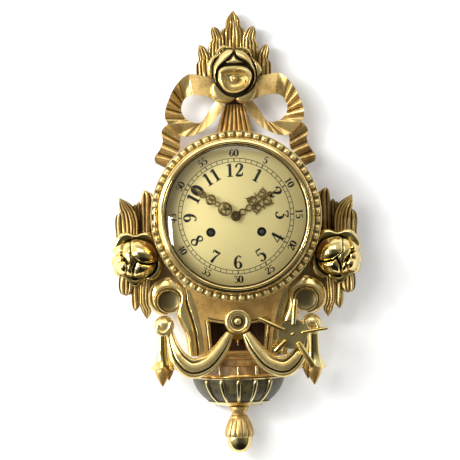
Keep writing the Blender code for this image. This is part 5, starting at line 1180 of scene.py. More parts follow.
def bud_ground(base):
    """The round of the bud, which all its petals lie on."""
    return lambda x, y: base + 0.030 * np.sqrt(np.clip(1 - ((x - BUD_AT[0]) / 0.0325) ** 2
        - ((y - BUD_AT[1]) / 0.0295) ** 2, 0.03, 1))


for side, tag in SIDES:
    low, high = node_box("side_rose_" + tag)
    seat = rose_place(BUD_AT, low.z + 0.004, side)
    rose = Carving()
    # The wide petals get a broad dark inner edge and the bud's petals dark rims, both painted shade in the gaps.
    for rows in BUD_OUTER:
        pad(rose, seat, rows, 0.0, 0.0080, 0.0105, 0.0034, 0.004, 8, 0.30)
    for outline, rise, bulge, rim in BUD_PETALS:
        patch(rose, side, outline, bud_ground(low.z + 0.004), rise, bulge, low.z + 0.003, rim)
    rose.piece("carved_side_rose_" + tag, BURNISHED_GILDING, ["side_rose_" + tag], "gilt_bright", "case", 50)

# %% [markdown]
# The side leaves
# Leaves stand up behind each side rose and hang below it. They use the crest's leaf with other roots and tips and
# fewer gouges, and the outer ones bend away from the clock. A bracket behind them holds the rose and closes the
# gap between ring, rose and scroll; it is painted dark, as the shade that lies there.

# %% The side leaves
UPPER_LEAVES = [
    ([(130, -40), (133, 8), (134, 15), (136.5, 18.5)], [(142, -40), (141, 5), (139.5, 14), (136.5, 18.5)], 0.004, 2),
    ([(124, -45), (127, 5), (128, 18), (131, 22)], [(137, -45), (136, 5), (134.5, 17), (131, 22)], 0.005, 2),
    ([(110, -45), (109, -10), (109.5, 20), (111.5, 30), (116, 34), (121.5, 37)],
     [(128, -45), (127.5, 0), (127.2, 20), (126, 30), (124.5, 35.5), (121.5, 37)], 0.008, 3),
    ([(148, -50), (152.5, -10), (154, 3), (157.5, 7)], [(160, -50), (163, -15), (163.2, -5), (161.5, 3),
        (157.5, 7)], 0.009, 2),
    ([(133, -50), (130.5, -10), (132.5, 3), (136.5, 12), (141.5, 18), (147.5, 22.5), (156.5, 27)],
     [(153, -50), (154.5, 0), (156.5, 8), (157.5, 16), (156.5, 27)], 0.014, 5),
]
LOWER_LEAVES = [
    ([(130, -70), (131, -100), (131.5, -118), (137, -126)], [(142, -70), (142.5, -100), (142, -115), (140, -122),
        (137, -126)], 0.001, 2),
    ([(116, -70), (118.5, -95), (119.5, -108), (118.5, -118), (115.5, -126), (121.5, -137)],
     [(132, -70), (132.5, -100), (132.5, -114), (130, -121), (126, -130), (121.5, -137)], 0.002, 4),
    ([(138, -70), (138.5, -90), (141.5, -101), (149, -105)], [(157, -70), (159, -90), (156.5, -101), (149, -105)],
        0.003, 3),
]
for side, tag in SIDES:
    low, high = node_box("side_plume_" + tag)
    upper = Carving()
    for left, right, step, ridges in UPPER_LEAVES:
        leaf(upper, side, left, right, low.z + step, low.z, 0.008, ridges)
    bracket = np.array([(0.080, -0.030), (0.082, -0.086), (0.102, -0.092), (0.116, -0.104), (0.126, -0.104),
        (0.150, -0.080), (0.152, -0.040), (0.118, -0.022)])
    ring = np.stack([side * bracket[:, 0], bracket[:, 1], 0 * bracket[:, 0]], -1)
    # The bracket is painted darker, as the shade behind the leaves.
    upper.tube(np.stack([ring + [0, 0, low.z], ring + [0, 0, low.z + 0.009],
        ring * [0.985, 0.985, 1] + [0, 0, low.z + 0.0105]]), 0.6)
    upper.piece("carved_side_plume_" + tag, MATTE_GILDING, ["side_plume_" + tag], "gilt_bright")
    low, high = node_box("side_drop_" + tag)
    lower = Carving()
    for left, right, step, ridges in LOWER_LEAVES:
        leaf(lower, side, left, right, low.z + step, low.z, 0.003, ridges)
    lower.piece("carved_side_drop_" + tag, MATTE_GILDING, ["side_drop_" + tag], "gilt_bright")

# %% [markdown]
# The scroll consoles
# An S-scroll leans on each side of the trunk. Seen from the front it is a band with two edges: beside the window
# both run straight, at the top one wraps the volute and the other its eye. A flat inner strip and a round outer
# moulding share the band. The eye is a shallow dish in a thin bright ring, with a groove round it. The dish is
# painted dark, as shade and as the dark room that it mirrors, and the groove beside the moulding and the dip at
# the volute's edge are painted darker as shade.

# %% The scroll consoles
SCROLL_LEFT_EDGE = [
    (0.0408, -0.187), (0.0432, -0.160), (0.0455, -0.138), (0.0485, -0.118), (0.0560, -0.1010), (0.0690, -0.0870),
    (0.0850, -0.0808), (0.0960, -0.0803), (0.1085, -0.0848), (0.1172, -0.0945), (0.1205, -0.1080),
    (0.1170, -0.1210), (0.1070, -0.1300), (0.0960, -0.1328),
]
SCROLL_RIGHT_EDGE = [
    (0.0670, -0.187), (0.0705, -0.160), (0.0818, -0.137), (0.0805, -0.1240), (0.0757, -0.1125), (0.0785, -0.1035),
    (0.0850, -0.0985), (0.0935, -0.0968), (0.1020, -0.1000), (0.1075, -0.1075), (0.1082, -0.1170),
    (0.1040, -0.1250), (0.0985, -0.1285), (0.0940, -0.1295),
]
EYE = (0.0922, -0.1130)
HOOK = (0.0985, -0.1450)


def scroll(side, tag):
    low, high = node_box("scroll_" + tag)
    face = low.z + 0.036
    v, u = np.meshgrid(spread(150), spread(33), indexing="ij")
    one, two = smooth_path(SCROLL_LEFT_EDGE, 150), smooth_path(SCROLL_RIGHT_EDGE, 150)
    place = one[:, None, :] * (1 - u[..., None]) + two[:, None, :] * u[..., None]
    volute = np.clip((v - 0.42) / 0.2, 0, 1)
    flat = 0.50 * (1 - volute)
    band = np.clip((u - flat) / (1 - flat), 0, 1)
    moulding = np.sqrt(np.clip(1 - (2 * band - 1) ** 2, 0, 1)) * 0.0062 * (1 - volute) * (u >= flat)
    groove = np.exp(-(((u - flat) / 0.045) ** 2)) * (1 - volute)
    dip = np.exp(-(((1 - u) / 0.16) ** 2)) * volute
    depth = face + moulding - 0.0020 * groove - 0.0050 * dip + volute * (0.0034 - 0.0062 * (1 - u) - 0.003
        * (1 - u) ** 8)
    points = np.stack([side * place[..., 0], place[..., 1], depth], -1)
    rear = points.copy()
    rear[..., 2] = low.z
    console = Carving()
    # The groove beside the moulding and the dip at the volute's edge are painted darker as shade.
    console.shell(points, rear, np.clip(groove * 0.8 + 0.75 * dip, 0, 1))
    rim = [
        (0.0160, low.z), (0.0160, face + 0.0030), (0.0157, face + 0.0042), (0.0150, face + 0.0048),
        (0.0143, face + 0.0042),
        (0.0139, face + 0.0030),
    ]
    rim += [(0.0134 * math.cos(a) + 0.0003, face + 0.0012 - 0.0030 * math.sin(a))
        for a in spread(16, 0.0, 1.57)] + [(0.0003, low.z)]
    # The eye's dish is painted dark, as shade and as the dark room that it mirrors.
    dark = lambda radius, height, angle: (radius, np.where(radius < 0.0141, 0.74, 0.0))
    console.turned(rim, 72, side * EYE[0], EYE[1], 0.0, False, dark)
    roll = [(0.0004 + 0.0132 * math.sin(a), face + 0.014 + 0.013 * -math.cos(a)) for a in spread(22, 0.02, 3.12)]
    console.turned(roll, 48, side * HOOK[0], HOOK[1])
    curl = smooth_path([(-0.010, 0.004, 0.0028), (-0.006, -0.006, 0.0036), (0.002, -0.010, 0.0040),
        (0.0085, -0.005, 0.0036), (0.006, 0.002, 0.0026)], 40)
    angle = spread(17, 0, 2 * np.pi)[:-1]
    run = np.gradient(curl[:, :2], axis=0)
    run /= np.linalg.norm(run, axis=1, keepdims=True)
    rings = np.stack(
        [
            side * (HOOK[0] + curl[:, :1] + run[:, 1:2] * curl[:, 2:3] * np.cos(angle)),
            HOOK[1] + curl[:, 1:2] - run[:, :1] * curl[:, 2:3] * np.cos(angle),
            face + 0.0262 + curl[:, 2:3] * np.sin(angle) + 0 * curl[:, :1],
        ],
        -1,
    )
    console.tube(rings)
    console.piece("carved_scroll_" + tag, SATIN_GILDING, ["scroll_" + tag], "gilt_bright", "case", 44)


for side, tag in SIDES:
    scroll(side, tag)

# %% [markdown]
# The window frame of the trunk
# Below the dial hangs a box with a tapering window, through which the pendulum shows. A gilded strip edges
# the opening, and a dark line beside it is painted as the shadow in the groove next to the strip. Each strip is a
# short moulding along one side.

# %% The window frame
TRUNK_LOW, TRUNK_HIGH = node_box("trunk")


def strip(carving, start, end, width, rise, depth):
    """A half-round strip between two points of the front."""
    start, end = np.array(start, float), np.array(end, float)
    run = (end - start) / np.linalg.norm(end - start)
    right = np.array([run[1], -run[0]])
    v, u = np.meshgrid(spread(12), spread(13, -1, 1), indexing="ij")
    place = start + (end - start) * v[..., None] + right * (u * width / 2)[..., None]
    face = np.stack([place[..., 0], place[..., 1], depth + rise * np.sqrt(hill(u, 2.0))], -1)
    rear = face.copy()
    rear[..., 2] = depth - 0.0008
    carving.shell(face, rear)


# The dark line is a flat strip painted as the shadow in the groove beside the gilded strip.
window_gilt, window_line = Carving(), Carving()
cheeks = Carving()
for side in (LEFT, RIGHT):
    v, u = np.meshgrid(spread(30), spread(6), indexing="ij")
    outer = 0.0450 + 0.0210 * np.clip(1 - v, 0, 1) ** 1.8
    inner = 0.0440 - 0.0040 * v
    face = np.stack([side * (inner * (1 - u) + outer * u), -0.0900 - 0.0965 * v, TRUNK_HIGH.z - 0.0010 + 0 * u], -1)
    rear = face.copy()
    rear[..., 2] = TRUNK_LOW.z
    cheeks.shell(face, rear)
cheeks.piece("trunk_cheeks", AGED_GILDING, [], "gilt_bright")
for side in (LEFT, RIGHT):
    strip(window_gilt, (side * 0.0412, -0.1400), (side * 0.0362, -0.1860), 0.0036, 0.0022, TRUNK_HIGH.z)
    strip(window_line, (side * 0.0437, -0.1385), (side * 0.0388, -0.1860), 0.0011, 0.0003, TRUNK_HIGH.z)
    arc = [math.radians(-90 + side * s) for s in spread(8, 0, 16.5)]
    for before, after in zip(arc, arc[1:]):
        one, two = (math.cos(before), math.sin(before)), (math.cos(after), math.sin(after))
        strip(window_gilt, (0.1440 * one[0], 0.1440 * one[1]), (0.1440 * two[0], 0.1440 * two[1]), 0.0036, 0.0022,
            TRUNK_HIGH.z)
        strip(window_line, (0.1412 * one[0], 0.1412 * one[1]), (0.1412 * two[0], 0.1412 * two[1]), 0.0011, 0.0003,
            TRUNK_HIGH.z)
window_gilt.piece("window_strip", ROD_GILDING, [], "gilt_bright")
window_line.piece("window_line", SHADOW_WOOD, [], "gilt_bright")

# %% [markdown]
# The boss where the swags meet
# A turned button like a small wheel: a round outer moulding, a flat ring, a groove and a bead. The groove and
# the foot of the outer moulding are painted dark as shade.

# %% The boss
BOSS_LOW, BOSS_HIGH = node_box("centre_boss")
boss_at = (BOSS_LOW + BOSS_HIGH) / 2
boss_radius = BOSS_HIGH.x
top = BOSS_HIGH.z
BOSS_PROFILE = [(boss_radius - 0.0015, BOSS_LOW.z), (boss_radius, BOSS_LOW.z + 0.003), (boss_radius, top - 0.0070)]
BOSS_PROFILE += [(boss_radius - 0.0042 + 0.0042 * math.cos(a), top - 0.0060 + 0.0052 * math.sin(a))
    for a in spread(12, 0.1, 2.9)]
BOSS_PROFILE += [(0.0094, top - 0.0058), (0.0088, top - 0.0040), (0.0072, top - 0.0036), (0.0064, top - 0.0062)]
BOSS_PROFILE += [(0.0054 * math.cos(a), top - 0.0052 + 0.0050 * math.sin(a)) for a in spread(9, 0.0, 1.50)]
BOSS_PROFILE += [(0.0003, BOSS_LOW.z)]
boss = Carving()
# The groove and the foot of the outer moulding are painted dark as shade.
boss.turned(
    BOSS_PROFILE, 72, boss_at.x, boss_at.y, 0.0, False,
    lambda radius, height, angle: (radius, 0.95 * (np.abs(radius - 0.0064) < 0.0009) + 0.7
        * (np.abs(radius - 0.0096) < 0.0006)),
)
boss.piece("turned_boss", SATIN_GILDING, ["centre_boss"], "gilt_bright")

# %% [markdown]
# The swags
# Two lengths of cloth hang from the hooks to the boss. A hanging cloth gathers into lengthwise folds, so the
# section is a round with sharp cuts in it: one above, near the outer end only, and a deep one below along
# almost the whole length. The section grows towards the lowest point and shrinks at both ends.

# %% The swags
SWAG_LOW, SWAG_HIGH = node_box("swag_right")
swag_axis = (SWAG_LOW.z + SWAG_HIGH.z) / 2
SWAG_PATH = [
    (0.0110, -0.1560, 0.0055), (0.0150, -0.1640, 0.0075), (0.0240, -0.1785, 0.0100), (0.0400, -0.1955, 0.0125),
    (0.0610, -0.2020, 0.0138), (0.0770, -0.1910, 0.0118), (0.0856, -0.1740, 0.0082), (0.0902, -0.1580, 0.0056),
    (0.0925, -0.1480, 0.0046),
]


def swag(side, tag):
    rows = smooth_path(SWAG_PATH, 130)
    share = spread(130)[:, None]
    run = np.gradient(rows[:, :2], axis=0)
    run /= np.linalg.norm(run, axis=1, keepdims=True)
    up = np.stack([-run[:, 1], run[:, 0]], -1)
    angle = spread(121, -np.pi, np.pi)[:-1][None, :]
    ends = np.clip(np.minimum(share, 1 - share) / 0.12, 0, 1)
    upper = np.exp(-(((angle - 0.80) / 0.13) ** 2)) * np.clip((share - 0.30) / 0.25, 0, 1) * (0.6 + 0.4 * ends)
    middle = np.exp(-(((angle - 0.30) / 0.30) ** 2)) * 0.5 * ends
    lower = np.exp(-(((angle + 0.55) / 0.15) ** 2)) * ends
    sunk = 0.012 * np.clip((share - 0.72) / 0.28, 0, 1) ** 1.5
    shape = 1 - 0.42 * upper - 0.04 * middle - 0.50 * lower
    radius = rows[:, 2:3] * shape
    lift = radius * np.sin(angle)
    points = np.stack(
        [side * (rows[:, :1] + up[:, :1] * lift), rows[:, 1:2] + up[:, 1:2] * lift,
            swag_axis - sunk + 0.92 * radius * np.cos(angle)], -1
    )
    cloth = Carving()
    # Both cuts are painted dark, as the shade in them.
    cloth.tube(points, np.clip(1.6 * upper + 1.8 * lower, 0, 1))
    cloth.piece("carved_swag_" + tag, SATIN_GILDING, ["swag_" + tag], "gilt_bright", "case", 60)


for side, tag in SIDES:
    swag(side, tag)

# %% [markdown]
# The bell flowers
# From each hook hangs a flower like a bell: three petals flare to a scalloped edge, and two pointed buds look
# out below. The bell is a grid round an upright axis, whose lower edge dips in scallops. The buds are turned,
# and they are a piece of their own because their gilding is browner.

# %% The bell flowers
def bell_flower(side, tag):
    low, high = node_box("tassel_" + tag)
    axis = (low + high) / 2
    height = 0.0475
    angle = spread(121, 0, 2 * np.pi)[:-1][None, :]
    v = spread(48)[:, None]
    panel = np.abs(np.cos(1.5 * angle - 1.31))
    flare = 0.0072 + 0.0008 * v + 0.0092 * np.clip((v - 0.30) / 0.70, 0, 1) ** 2.8
    radius = flare * (0.86 + 0.14 * panel**0.7)
    drop = height * v * (0.92 + 0.12 * panel)
    # The grooves between the petals are painted dark as shade.
    recess = np.clip(1.25 - panel * 2.6, 0, 1) * np.ones_like(v)
    skins = []
    for skin in (0.0, 0.0016):
        reach = radius - skin
        skins.append(np.stack([axis.x + side * reach * np.sin(angle), high.y - drop * (1 - 6 * skin) - skin / 2,
            axis.z + 0.80 * reach * np.cos(angle)], -1))
    flower = Carving()
    # The inside of the bell is painted dark as shade.
    flower.tube(np.concatenate([skins[0], skins[1][::-1]]), np.concatenate([recess, 0.9 + 0 * recess]))
    flower.piece("carved_tassel_" + tag, BURNISHED_GILDING, ["tassel_" + tag], "gilt_bright")
    buds = Carving()
    for across, depth, tip, length, wide in ((0.0006, 0.0020, 0.0, 0.035, 0.0100),
        (-0.0078, -0.0020, 0.0080, 0.028, 0.0070)):
        bud = [(wide * math.sin(math.pi * s**0.66) ** 0.9 + 0.0003, -length * s) for s in spread(32)]
        buds.turned(bud, 48, axis.x + side * across, low.y + tip + length, axis.z + depth, True)
    buds.piece("tassel_buds_" + tag, BRONZED_GILDING, [], "gilt_bright")


for side, tag in SIDES:
    bell_flower(side, tag)

# %% [markdown]
# The sill, the basket and their rods
# Under the window runs a half-round band with brown panels, and below it a half-round basket, stained dark
# olive and mottled like old leather. Gilded rods divide both. The rods are copies of one tapered rod, set
# round the upright axis by the same node tree as the beads.

# %% The sill and the basket
def half_round(carving, profile, back):
    """A turned body cut in half by the wall board."""
    points = carving.lathe(profile, 73, 0.0, 0.0, True, None, -math.pi / 2, math.pi)[0] + np.array([0, 0, back])
    rear = points.copy()
    rear[..., 2] = back - 0.0001
    carving.shell(points, rear)


def mottled(name, colour, light, roughness):
    finish = Finish(name, Coat_Weight=0.12, Coat_Roughness=0.25)
    blotches = finish.noise(130.0, 5.0)
    dots = finish.noise(520.0, 2.0)
    mixed = finish.blend((blotches * 0.6 + dots * 0.4).between(0.42, 0.64), colour, light)
    finish.feed(
        Base_Color=mixed, Roughness=roughness + blotches * 0.2 - 0.1,
        Normal=finish.bump(dots * 0.5 + blotches * 0.5, 0.35, 0.0012)
    )
    return finish.material


OLIVE = mottled("olive_stain", rgb(50, 46, 25), rgb(84, 76, 44), 0.4)
DADO_BROWN = mottled("brown_stain", rgb(118, 88, 46), rgb(164, 128, 72), 0.4)
DADO_LOW, DADO_HIGH = node_box("dado")
BOWL_LOW, BOWL_HIGH = node_box("bowl")
sill_back = DADO_LOW.z
lip = DADO_HIGH.x
top, foot = DADO_HIGH.y, DADO_LOW.y
sill = Carving()
half_round(sill, [(0.0005, top), (lip, top), (lip, top - 0.0030), (lip - 0.0012, top - 0.0042),
    (lip - 0.003, top - 0.0046), (0.0005, top - 0.0046)], sill_back)
half_round(sill, [(0.0005, top - 0.0118), (lip - 0.0015, top - 0.0118), (lip, top - 0.0128),
    (lip - 0.0015, top - 0.0138), (0.0005, top - 0.0138)], sill_back)
half_round(sill, [(0.0005, foot + 0.0034), (lip - 0.0010, foot + 0.0034), (lip, foot + 0.0020), (lip, foot),
    (0.0005, foot)], sill_back)
sill.piece("gilded_sill", BRONZED_GILDING, [], "gilt_bright")
panels = Carving()
half_round(panels, [(0.0005, top - 0.001), (lip - 0.0035, top - 0.001), (lip - 0.0035, foot + 0.001),
    (0.0005, foot + 0.001)], sill_back)
panels.piece("stained_sill_panels", DADO_BROWN, ["dado"], "gilt_bright")

bowl_radius, bowl_foot_radius = BOWL_HIGH.x, 0.0216
bowl_top, bowl_foot = BOWL_HIGH.y, BOWL_LOW.y
bowl_height = bowl_top - bowl_foot


def bowl_side(share):
    """The basket's radius and height from its rim (0) to its foot (1)."""
    radius = bowl_foot_radius + (bowl_radius - bowl_foot_radius) * math.sqrt(max(0.0, 1 - share**1.6))
    return radius, bowl_top - bowl_height * share


basket = Carving()
half_round(basket, [(0.0005, bowl_top)] + [(bowl_side(s)[0] - 0.0015, bowl_side(s)[1])
    for s in spread(28)] + [(0.0005, bowl_foot)], BOWL_LOW.z)
basket.piece("olive_basket", OLIVE, ["bowl"], "olive_panel")
bands = Carving()
half_round(bands, [(0.0005, bowl_top), (bowl_radius - 0.001, bowl_top), (bowl_radius, bowl_top - 0.0006),
    (bowl_radius - 0.001, bowl_top - 0.0016), (0.0005, bowl_top - 0.0016)], BOWL_LOW.z)
shares = spread(12, 0.84, 1.0)
half_round(bands, [(0.0005, bowl_side(0.84)[1])] + [(bowl_side(s)[0] + 0.0008, bowl_side(s)[1])
    for s in shares] + [(0.0005, bowl_foot)], BOWL_LOW.z)
bands.piece("gilded_basket_bands", ROD_GILDING, [], "gilt_bright")


def rod_mesh(stations, widths):
    """A tapered half-round rod along (radius, height) stations, made on the x axis."""
    rows = np.array(stations, float)
    angle = spread(9, -np.pi / 2, np.pi / 2)
    shape = Carving()
    rings = np.stack(
        [
            np.stack([rows[i, 0] + w * 0.8 * np.cos(angle), rows[i, 1] + 0 * angle, -w * np.sin(angle)], -1)
            for i, w in enumerate(widths)
        ]
    )
    shape.tube(rings)
    mesh = bpy.data.meshes.new("rod")
    mesh.from_pydata([(p[0], -p[2], p[1]) for p in shape.points], [], shape.faces)
    sheet = bmesh.new()
    sheet.from_mesh(mesh)
    bmesh.ops.recalc_face_normals(sheet, faces=sheet.faces)
    sheet.to_mesh(mesh)
    sheet.free()
    return mesh


bowl_shares = spread(14, 0.06, 0.86)
bowl_rod = rod_mesh(
    [bowl_side(s) for s in bowl_shares],
    [(0.0034 - 0.0020 * s) * min(1.0, 0.35 + 9 * (s - 0.06)) for s in bowl_shares],
)
sill_rod = rod_mesh([(lip - 0.0035, h) for h in spread(6, top - 0.0142, foot + 0.0036)], [0.0022] * 6)
for name, rod, count, step, back in (("basket_rods", bowl_rod, 5, 21.2, BOWL_LOW.z),
    ("sill_rods", sill_rod, 5, 28.4, sill_back)):
    first = math.radians(-90 - step * (count - 1) / 2)
    rods = copies(rod, count, 0.0, first, math.radians(step), ROD_GILDING)
    rods.transform(Matrix.Translation((0, -back, 0)))
    dress(rods, name, ROD_GILDING, [])

# %% [markdown]
# The drop at the bottom
# A turned collar, a fluted cup like a closed flower and a polished acorn end the clock. The flutes are a wave
# of the cup's radius round its upright axis, which fades out at the collar.

# %% The drop
CUP_LOW, CUP_HIGH = node_box("finial_cup")
ACORN_LOW, ACORN_HIGH = node_box("finial_acorn")
drop_depth = (CUP_LOW.z + CUP_HIGH.z) / 2
cup_top = CUP_HIGH.y
CUP_PROFILE = [(0.0003, 0), (0.0125, 0), (0.0134, -0.0010), (0.0134, -0.0026), (0.0122, -0.0034), (0.0122, -0.0046),
    (0.0114, -0.0058)]
CUP_PROFILE += [(0.0093, -0.0086), (0.0093, -0.0112), (0.0104, -0.0126), (0.0120, -0.0132), (0.0123, -0.0142)]
CUP_PROFILE += [tuple(row) for row in smooth_path([(0.0124, -0.0150), (0.0150, -0.0195), (0.0184, -0.0280),
    (0.0205, -0.0350), (0.0200, -0.0392), (0.0184, -0.0410)], 26)]
CUP_PROFILE += [(0.0160, -0.0402), (0.0003, -0.0400)]


def flutes(radius, height, angle):
    cup = np.clip((-0.0150 - height) / 0.006, 0, 1) * (radius > 0.012)
    ridge = np.abs(np.cos(7 * angle)) ** 0.6
    # The flute valleys are painted darker as shade.
    return radius * (1 - 0.06 * cup * (1 - ridge)), np.clip(cup * (1 - ridge) ** 1.5 * 1.1, 0, 1)


cup = Carving()
cup.turned(CUP_PROFILE, 168, 0.0, cup_top, drop_depth, True, flutes)
cup.piece("fluted_finial_cup", MATTE_GILDING, ["finial_cup"], "gilt_bright")
acorn_top, acorn_height = ACORN_HIGH.y, ACORN_HIGH.y - ACORN_LOW.y
ACORN_PROFILE = [(0.0003, 0.0012), (0.0165, 0.0012)] + [(ACORN_HIGH.x * math.cos(a) ** 0.80,
    -(acorn_height - 0.0005) * math.sin(a)) for a in spread(26, 0, 1.56)]
ACORN_PROFILE += [(0.0003, -acorn_height)]
acorn = Carving()
acorn.turned(ACORN_PROFILE, 72, 0.0, acorn_top, drop_depth, True)
acorn.piece("polished_acorn", BURNISHED_GILDING, ["finial_acorn"], "gilt_bright", "case", 60)

# %% [markdown]
# The star key
# A key for several clocks hangs by the right scroll: five square-holed tubes of different sizes on a brushed
# bronze disc with a rivet. The brushing is turned, so its lines run round the rivet. Each tube is a short
# lathe with an open end, laid along its own direction; the inside of its square hole is painted dark as shade.

# %% The star key
KEY_AT = (0.0726, -0.1577)
KEY_DISC = 0.0200
PRONG_START, HOLE_SHARE = 0.0115, 0.62
KEY_BRONZE = turned_metal("key_bronze_disc", rgb(142, 130, 88), rgb(100, 88, 54), 0.32, 3200.0, 0.74, *KEY_AT)
PRONGS = [(0.0040, 0.0458, 0.0033), (0.0462, 0.0074, 0.0023), (-0.0451, 0.0218, 0.0031), (-0.0237, -0.0226, 0.0039),
    (0.0264, -0.0432, 0.0042)]
key_back = node_box("winding_key")[0].z
disc_profile = [(0.0003, key_back), (KEY_DISC - 0.0006, key_back), (KEY_DISC, key_back + 0.0006),
    (KEY_DISC, key_back + 0.0022)]
disc_profile += [(KEY_DISC - 0.0008, key_back + 0.0030), (KEY_DISC - 0.002, key_back + 0.0027),
    (0.0003, key_back + 0.0027)]
disc = Carving()
disc.turned(disc_profile, 80, *KEY_AT)
disc.piece("key_disc", KEY_BRONZE, ["winding_key"], "key_bronze", "key")


def prong(carving, along, up, radius):
    """A tube from near the rivet to its tip, with a square hole in the end."""
    tip = math.hypot(along, up)
    run = np.array([along, up]) / tip
    side = np.array([run[1], -run[0]])
    stations = [(PRONG_START, 0.5), (PRONG_START + 0.001, 0.94), (PRONG_START + 0.002, 1.0), (tip * 0.6, 1.0),
        (tip - 0.0012, 1.0)]
    stations += [(tip, 0.9), (tip, HOLE_SHARE), (tip - 0.014, HOLE_SHARE)]
    angle = spread(33, 0, 2 * np.pi)[:-1]
    rings = []
    for distance, share in stations:
        square = 0.82 / np.maximum(np.abs(np.cos(angle)),
            np.abs(np.sin(angle))) if share == HOLE_SHARE else np.ones(32)
        across = radius * share * square * np.cos(angle)
        lift = radius * share * square * np.sin(angle)
        place = np.array(KEY_AT) + run * distance + side * across[:, None]
        rings.append(np.stack([place[:, 0], place[:, 1], key_back + 0.0027 + radius * 0.8 + lift], -1))
    # The inside of the square hole is painted dark as shade.
    carving.tube(np.stack(rings), np.array([0, 0, 0, 0, 0, 0, 0.8, 1.0])[:, None])


tubes = Carving()
for along, up, radius in PRONGS:
    prong(tubes, along, up, radius)
dome(tubes, lambda x, y, z: np.stack([KEY_AT[0] + x, KEY_AT[1] + y, key_back + 0.002 + z], -1), 0.0027, 0.0022)
tubes.piece("key_tubes", KEY_BRASS, [], "key_bronze", "key", 50)

# %% [markdown]
# The parts that stay as the frame made them
# The case, the movement behind the dial and the pendulum are plain turned and sawn parts, right as they are.
# They only need their wood, brass, steel or iron.

# %% Finishes of the frame's own parts
FRAME_FINISHES = {
    CASE_WOOD: ["case_drum", "case_front"],
    # The back board's dark colour is painted shade for the inside of the trunk.
    BACK_WOOD: ["back_board"],
    IRON: ["hanger_plate"],
    AGED_GILDING: ["trunk"],
    HAND_BRASS: ["door_catch"],
    BEZEL_BRASS: ["door_hinge", "hand_nut"],
    STEEL: ["hinge_pin", "pallet_anchor", "pendulum_rod", "going_winding_arbor", "strike_winding_arbor", "hammer",
        "bell_post", "centre_arbor"],
}
chosen = {node: material for material, nodes in FRAME_FINISHES.items() for node in nodes}
for name, node in frame["nodes"].items():
    node.data.materials.clear()
    node.data.materials.append(chosen.get(name, MOVEMENT_BRASS))
print("frame parts finished", len(chosen), "by name, the rest movement brass")

# %% [markdown]
# Wall and light
# The clock hangs on a white wall and throws a soft shadow down to its right. The wall glows a little for the camera
# and in reflections, and it is clear from behind and to shadow rays, so that the back can be seen and lit too.
# Polished gold shows what is around it, so the room matters. A window brightens the left and a ceiling the top,
# while the right, the floor and the room behind the camera stay dark. Two lamps stand on the left, and weaker
# ones fill the shadows. A narrow strip makes the streak on the glass, and two panels exist in reflections only.

# %% Wall and light
WALL_GLOW = 0.08


def wall_paint():
    finish = Finish("wall_paint", Roughness=0.9)
    grain = finish.noise(3.0, 2.0)
    finish.feed(Base_Color=finish.blend(grain, (0.86, 0.86, 0.86, 1), (0.9, 0.9, 0.9, 1)))

    def ray(kind):
        return finish.node("ShaderNodeLightPath", {}, {}, kind)

    seen = ray("Is Camera Ray") + ray("Is Glossy Ray") + ray("Is Transmission Ray")
    glow = finish.node("ShaderNodeEmission", {}, {"Strength": 1.0})
    lit = finish.mixed(seen * WALL_GLOW, Amount(finish, finish.shader.outputs[0]), glow)
    behind = finish.node("ShaderNodeNewGeometry", {}, {}, "Backfacing") + ray("Is Shadow Ray")
    return finish.show(finish.mixed(behind, lit, finish.node("ShaderNodeBsdfTransparent", {}, {})))


def flat_square(name, corners, material):
    mesh = bpy.data.meshes.new(name)
    mesh.from_pydata(corners, [], [(0, 1, 2, 3)])
    mesh.materials.append(material)
    made = bpy.data.objects.new(name, mesh)
    bpy.context.scene.collection.objects.link(made)
    return made


WALL_REACH, FLOOR_DROP, WALL_DEPTH = 4.0, 0.75, 0.0005
WALL = wall_paint()
ROUND_SQUARE = ((-1, 0), (1, 0), (1, 1), (-1, 1))
corners = [(x * WALL_REACH, WALL_DEPTH, (-FLOOR_DROP, WALL_REACH)[up]) for x, up in ROUND_SQUARE]
flat_square("wall", corners, WALL)
FLOOR_PAINT = Finish("floor_paint", Roughness=0.7)
FLOOR_PAINT.feed(Base_Color=FLOOR_PAINT.blend(FLOOR_PAINT.noise(4.0), (0.58, 0.58, 0.56, 1), (0.64, 0.64, 0.62, 1)))
corners = [(x * WALL_REACH, (-WALL_REACH, WALL_REACH)[away], -FLOOR_DROP) for x, away in ROUND_SQUARE]
flat_square("floor", corners, FLOOR_PAINT.material).visible_glossy = False
CLOCK_MIDDLE = Vector((0.0, -0.05, 0.0))


def soft_lamp(name, place, size, watts):
    data = bpy.data.lights.new(name, "AREA")
    data.shape = "RECTANGLE"
    data.size, data.size_y = size
    data.energy = watts
    lamp = bpy.data.objects.new(name, data)
    lamp.location = place
    lamp.rotation_euler = (Vector(place) - CLOCK_MIDDLE).to_track_quat("Z", "Y").to_euler()
    bpy.context.scene.collection.objects.link(lamp)
    return lamp


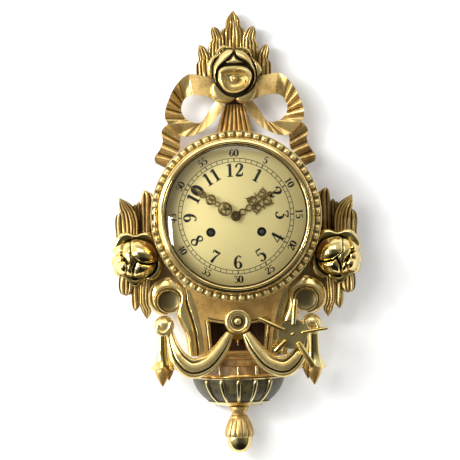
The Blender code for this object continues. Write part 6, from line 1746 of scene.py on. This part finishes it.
soft_lamp("key_lamp", (-2.0, -1.65, 0.75), (0.6, 0.6), 40.0)
soft_lamp("right_lamp", (1.75, -1.0, 0.35), (0.4, 1.3), 10.0).visible_glossy = False
soft_lamp("left_lamp", (-1.85, -0.6, -0.1), (0.35, 1.5), 12.0)
soft_lamp("window_strip_lamp", (-1.30, -1.88, -0.26), (0.08, 0.58), 4.0)
soft_lamp("front_lamp", (-1.3, -2.0, 0.95), (1.2, 1.2), 30.0).visible_glossy = False
soft_lamp("fill_lamp", (0.1, -2.6, 0.05), (0.8, 0.8), 1.5).visible_glossy = False
soft_lamp("ceiling_panel", (-0.1, -1.6, 1.6), (2.4, 0.8), 13.0).visible_diffuse = False
soft_lamp("side_panel", (-1.9, -1.4, 0.0), (0.9, 1.6), 10.0).visible_diffuse = False
soft_lamp("back_lamp", (-0.5, 2.2, 0.9), (1.2, 1.2), 10.0)

world = bpy.data.worlds.new("room")
world.use_nodes = True
bpy.context.scene.world = world
nodes, links = world.node_tree.nodes, world.node_tree.links
direction = nodes.new("ShaderNodeTexCoord").outputs["Generated"]
parts = nodes.new("ShaderNodeSeparateXYZ")
links.new(direction, parts.inputs[0])


def brighter(value, low, high, dark, light):
    """A smooth step from a dark to a light strength."""
    step = nodes.new("ShaderNodeMapRange")
    step.interpolation_type = "SMOOTHSTEP"
    for socket, number in zip(("From Min", "From Max", "To Min", "To Max"), (low, high, dark, light)):
        step.inputs[socket].default_value = number
    links.new(value, step.inputs["Value"])
    return step.outputs[0]


def joined(operation, first, second=None):
    sum_node = nodes.new("ShaderNodeMath")
    sum_node.operation = operation
    for socket, value in zip(sum_node.inputs, (first, second)):
        if value is not None:
            links.new(value, socket)
    return sum_node.outputs[0]


leftward = joined("MULTIPLY", parts.outputs["X"])
leftward.node.inputs[1].default_value = -1.0
window = brighter(leftward, 0.10, 0.75, 0.09, 0.68)
far_side = brighter(parts.outputs["X"], 0.45, 0.95, 0.0, 0.14)
ceiling = brighter(parts.outputs["Z"], 0.15, 0.65, 0.0, 0.60)
ahead = brighter(parts.outputs["Y"], -0.05, 0.15, 1.0, 0.0)
above = brighter(parts.outputs["Z"], -0.75, -0.25, 0.15, 1.0)
room = joined("MULTIPLY", joined("ADD", joined("ADD", window, far_side), ceiling), joined("MULTIPLY", ahead, above))
links.new(room, nodes["Background"].inputs["Strength"])
nodes["Background"].inputs["Color"].default_value = (1.0, 0.99, 0.97, 1)
print("lamps", len(bpy.data.lights))
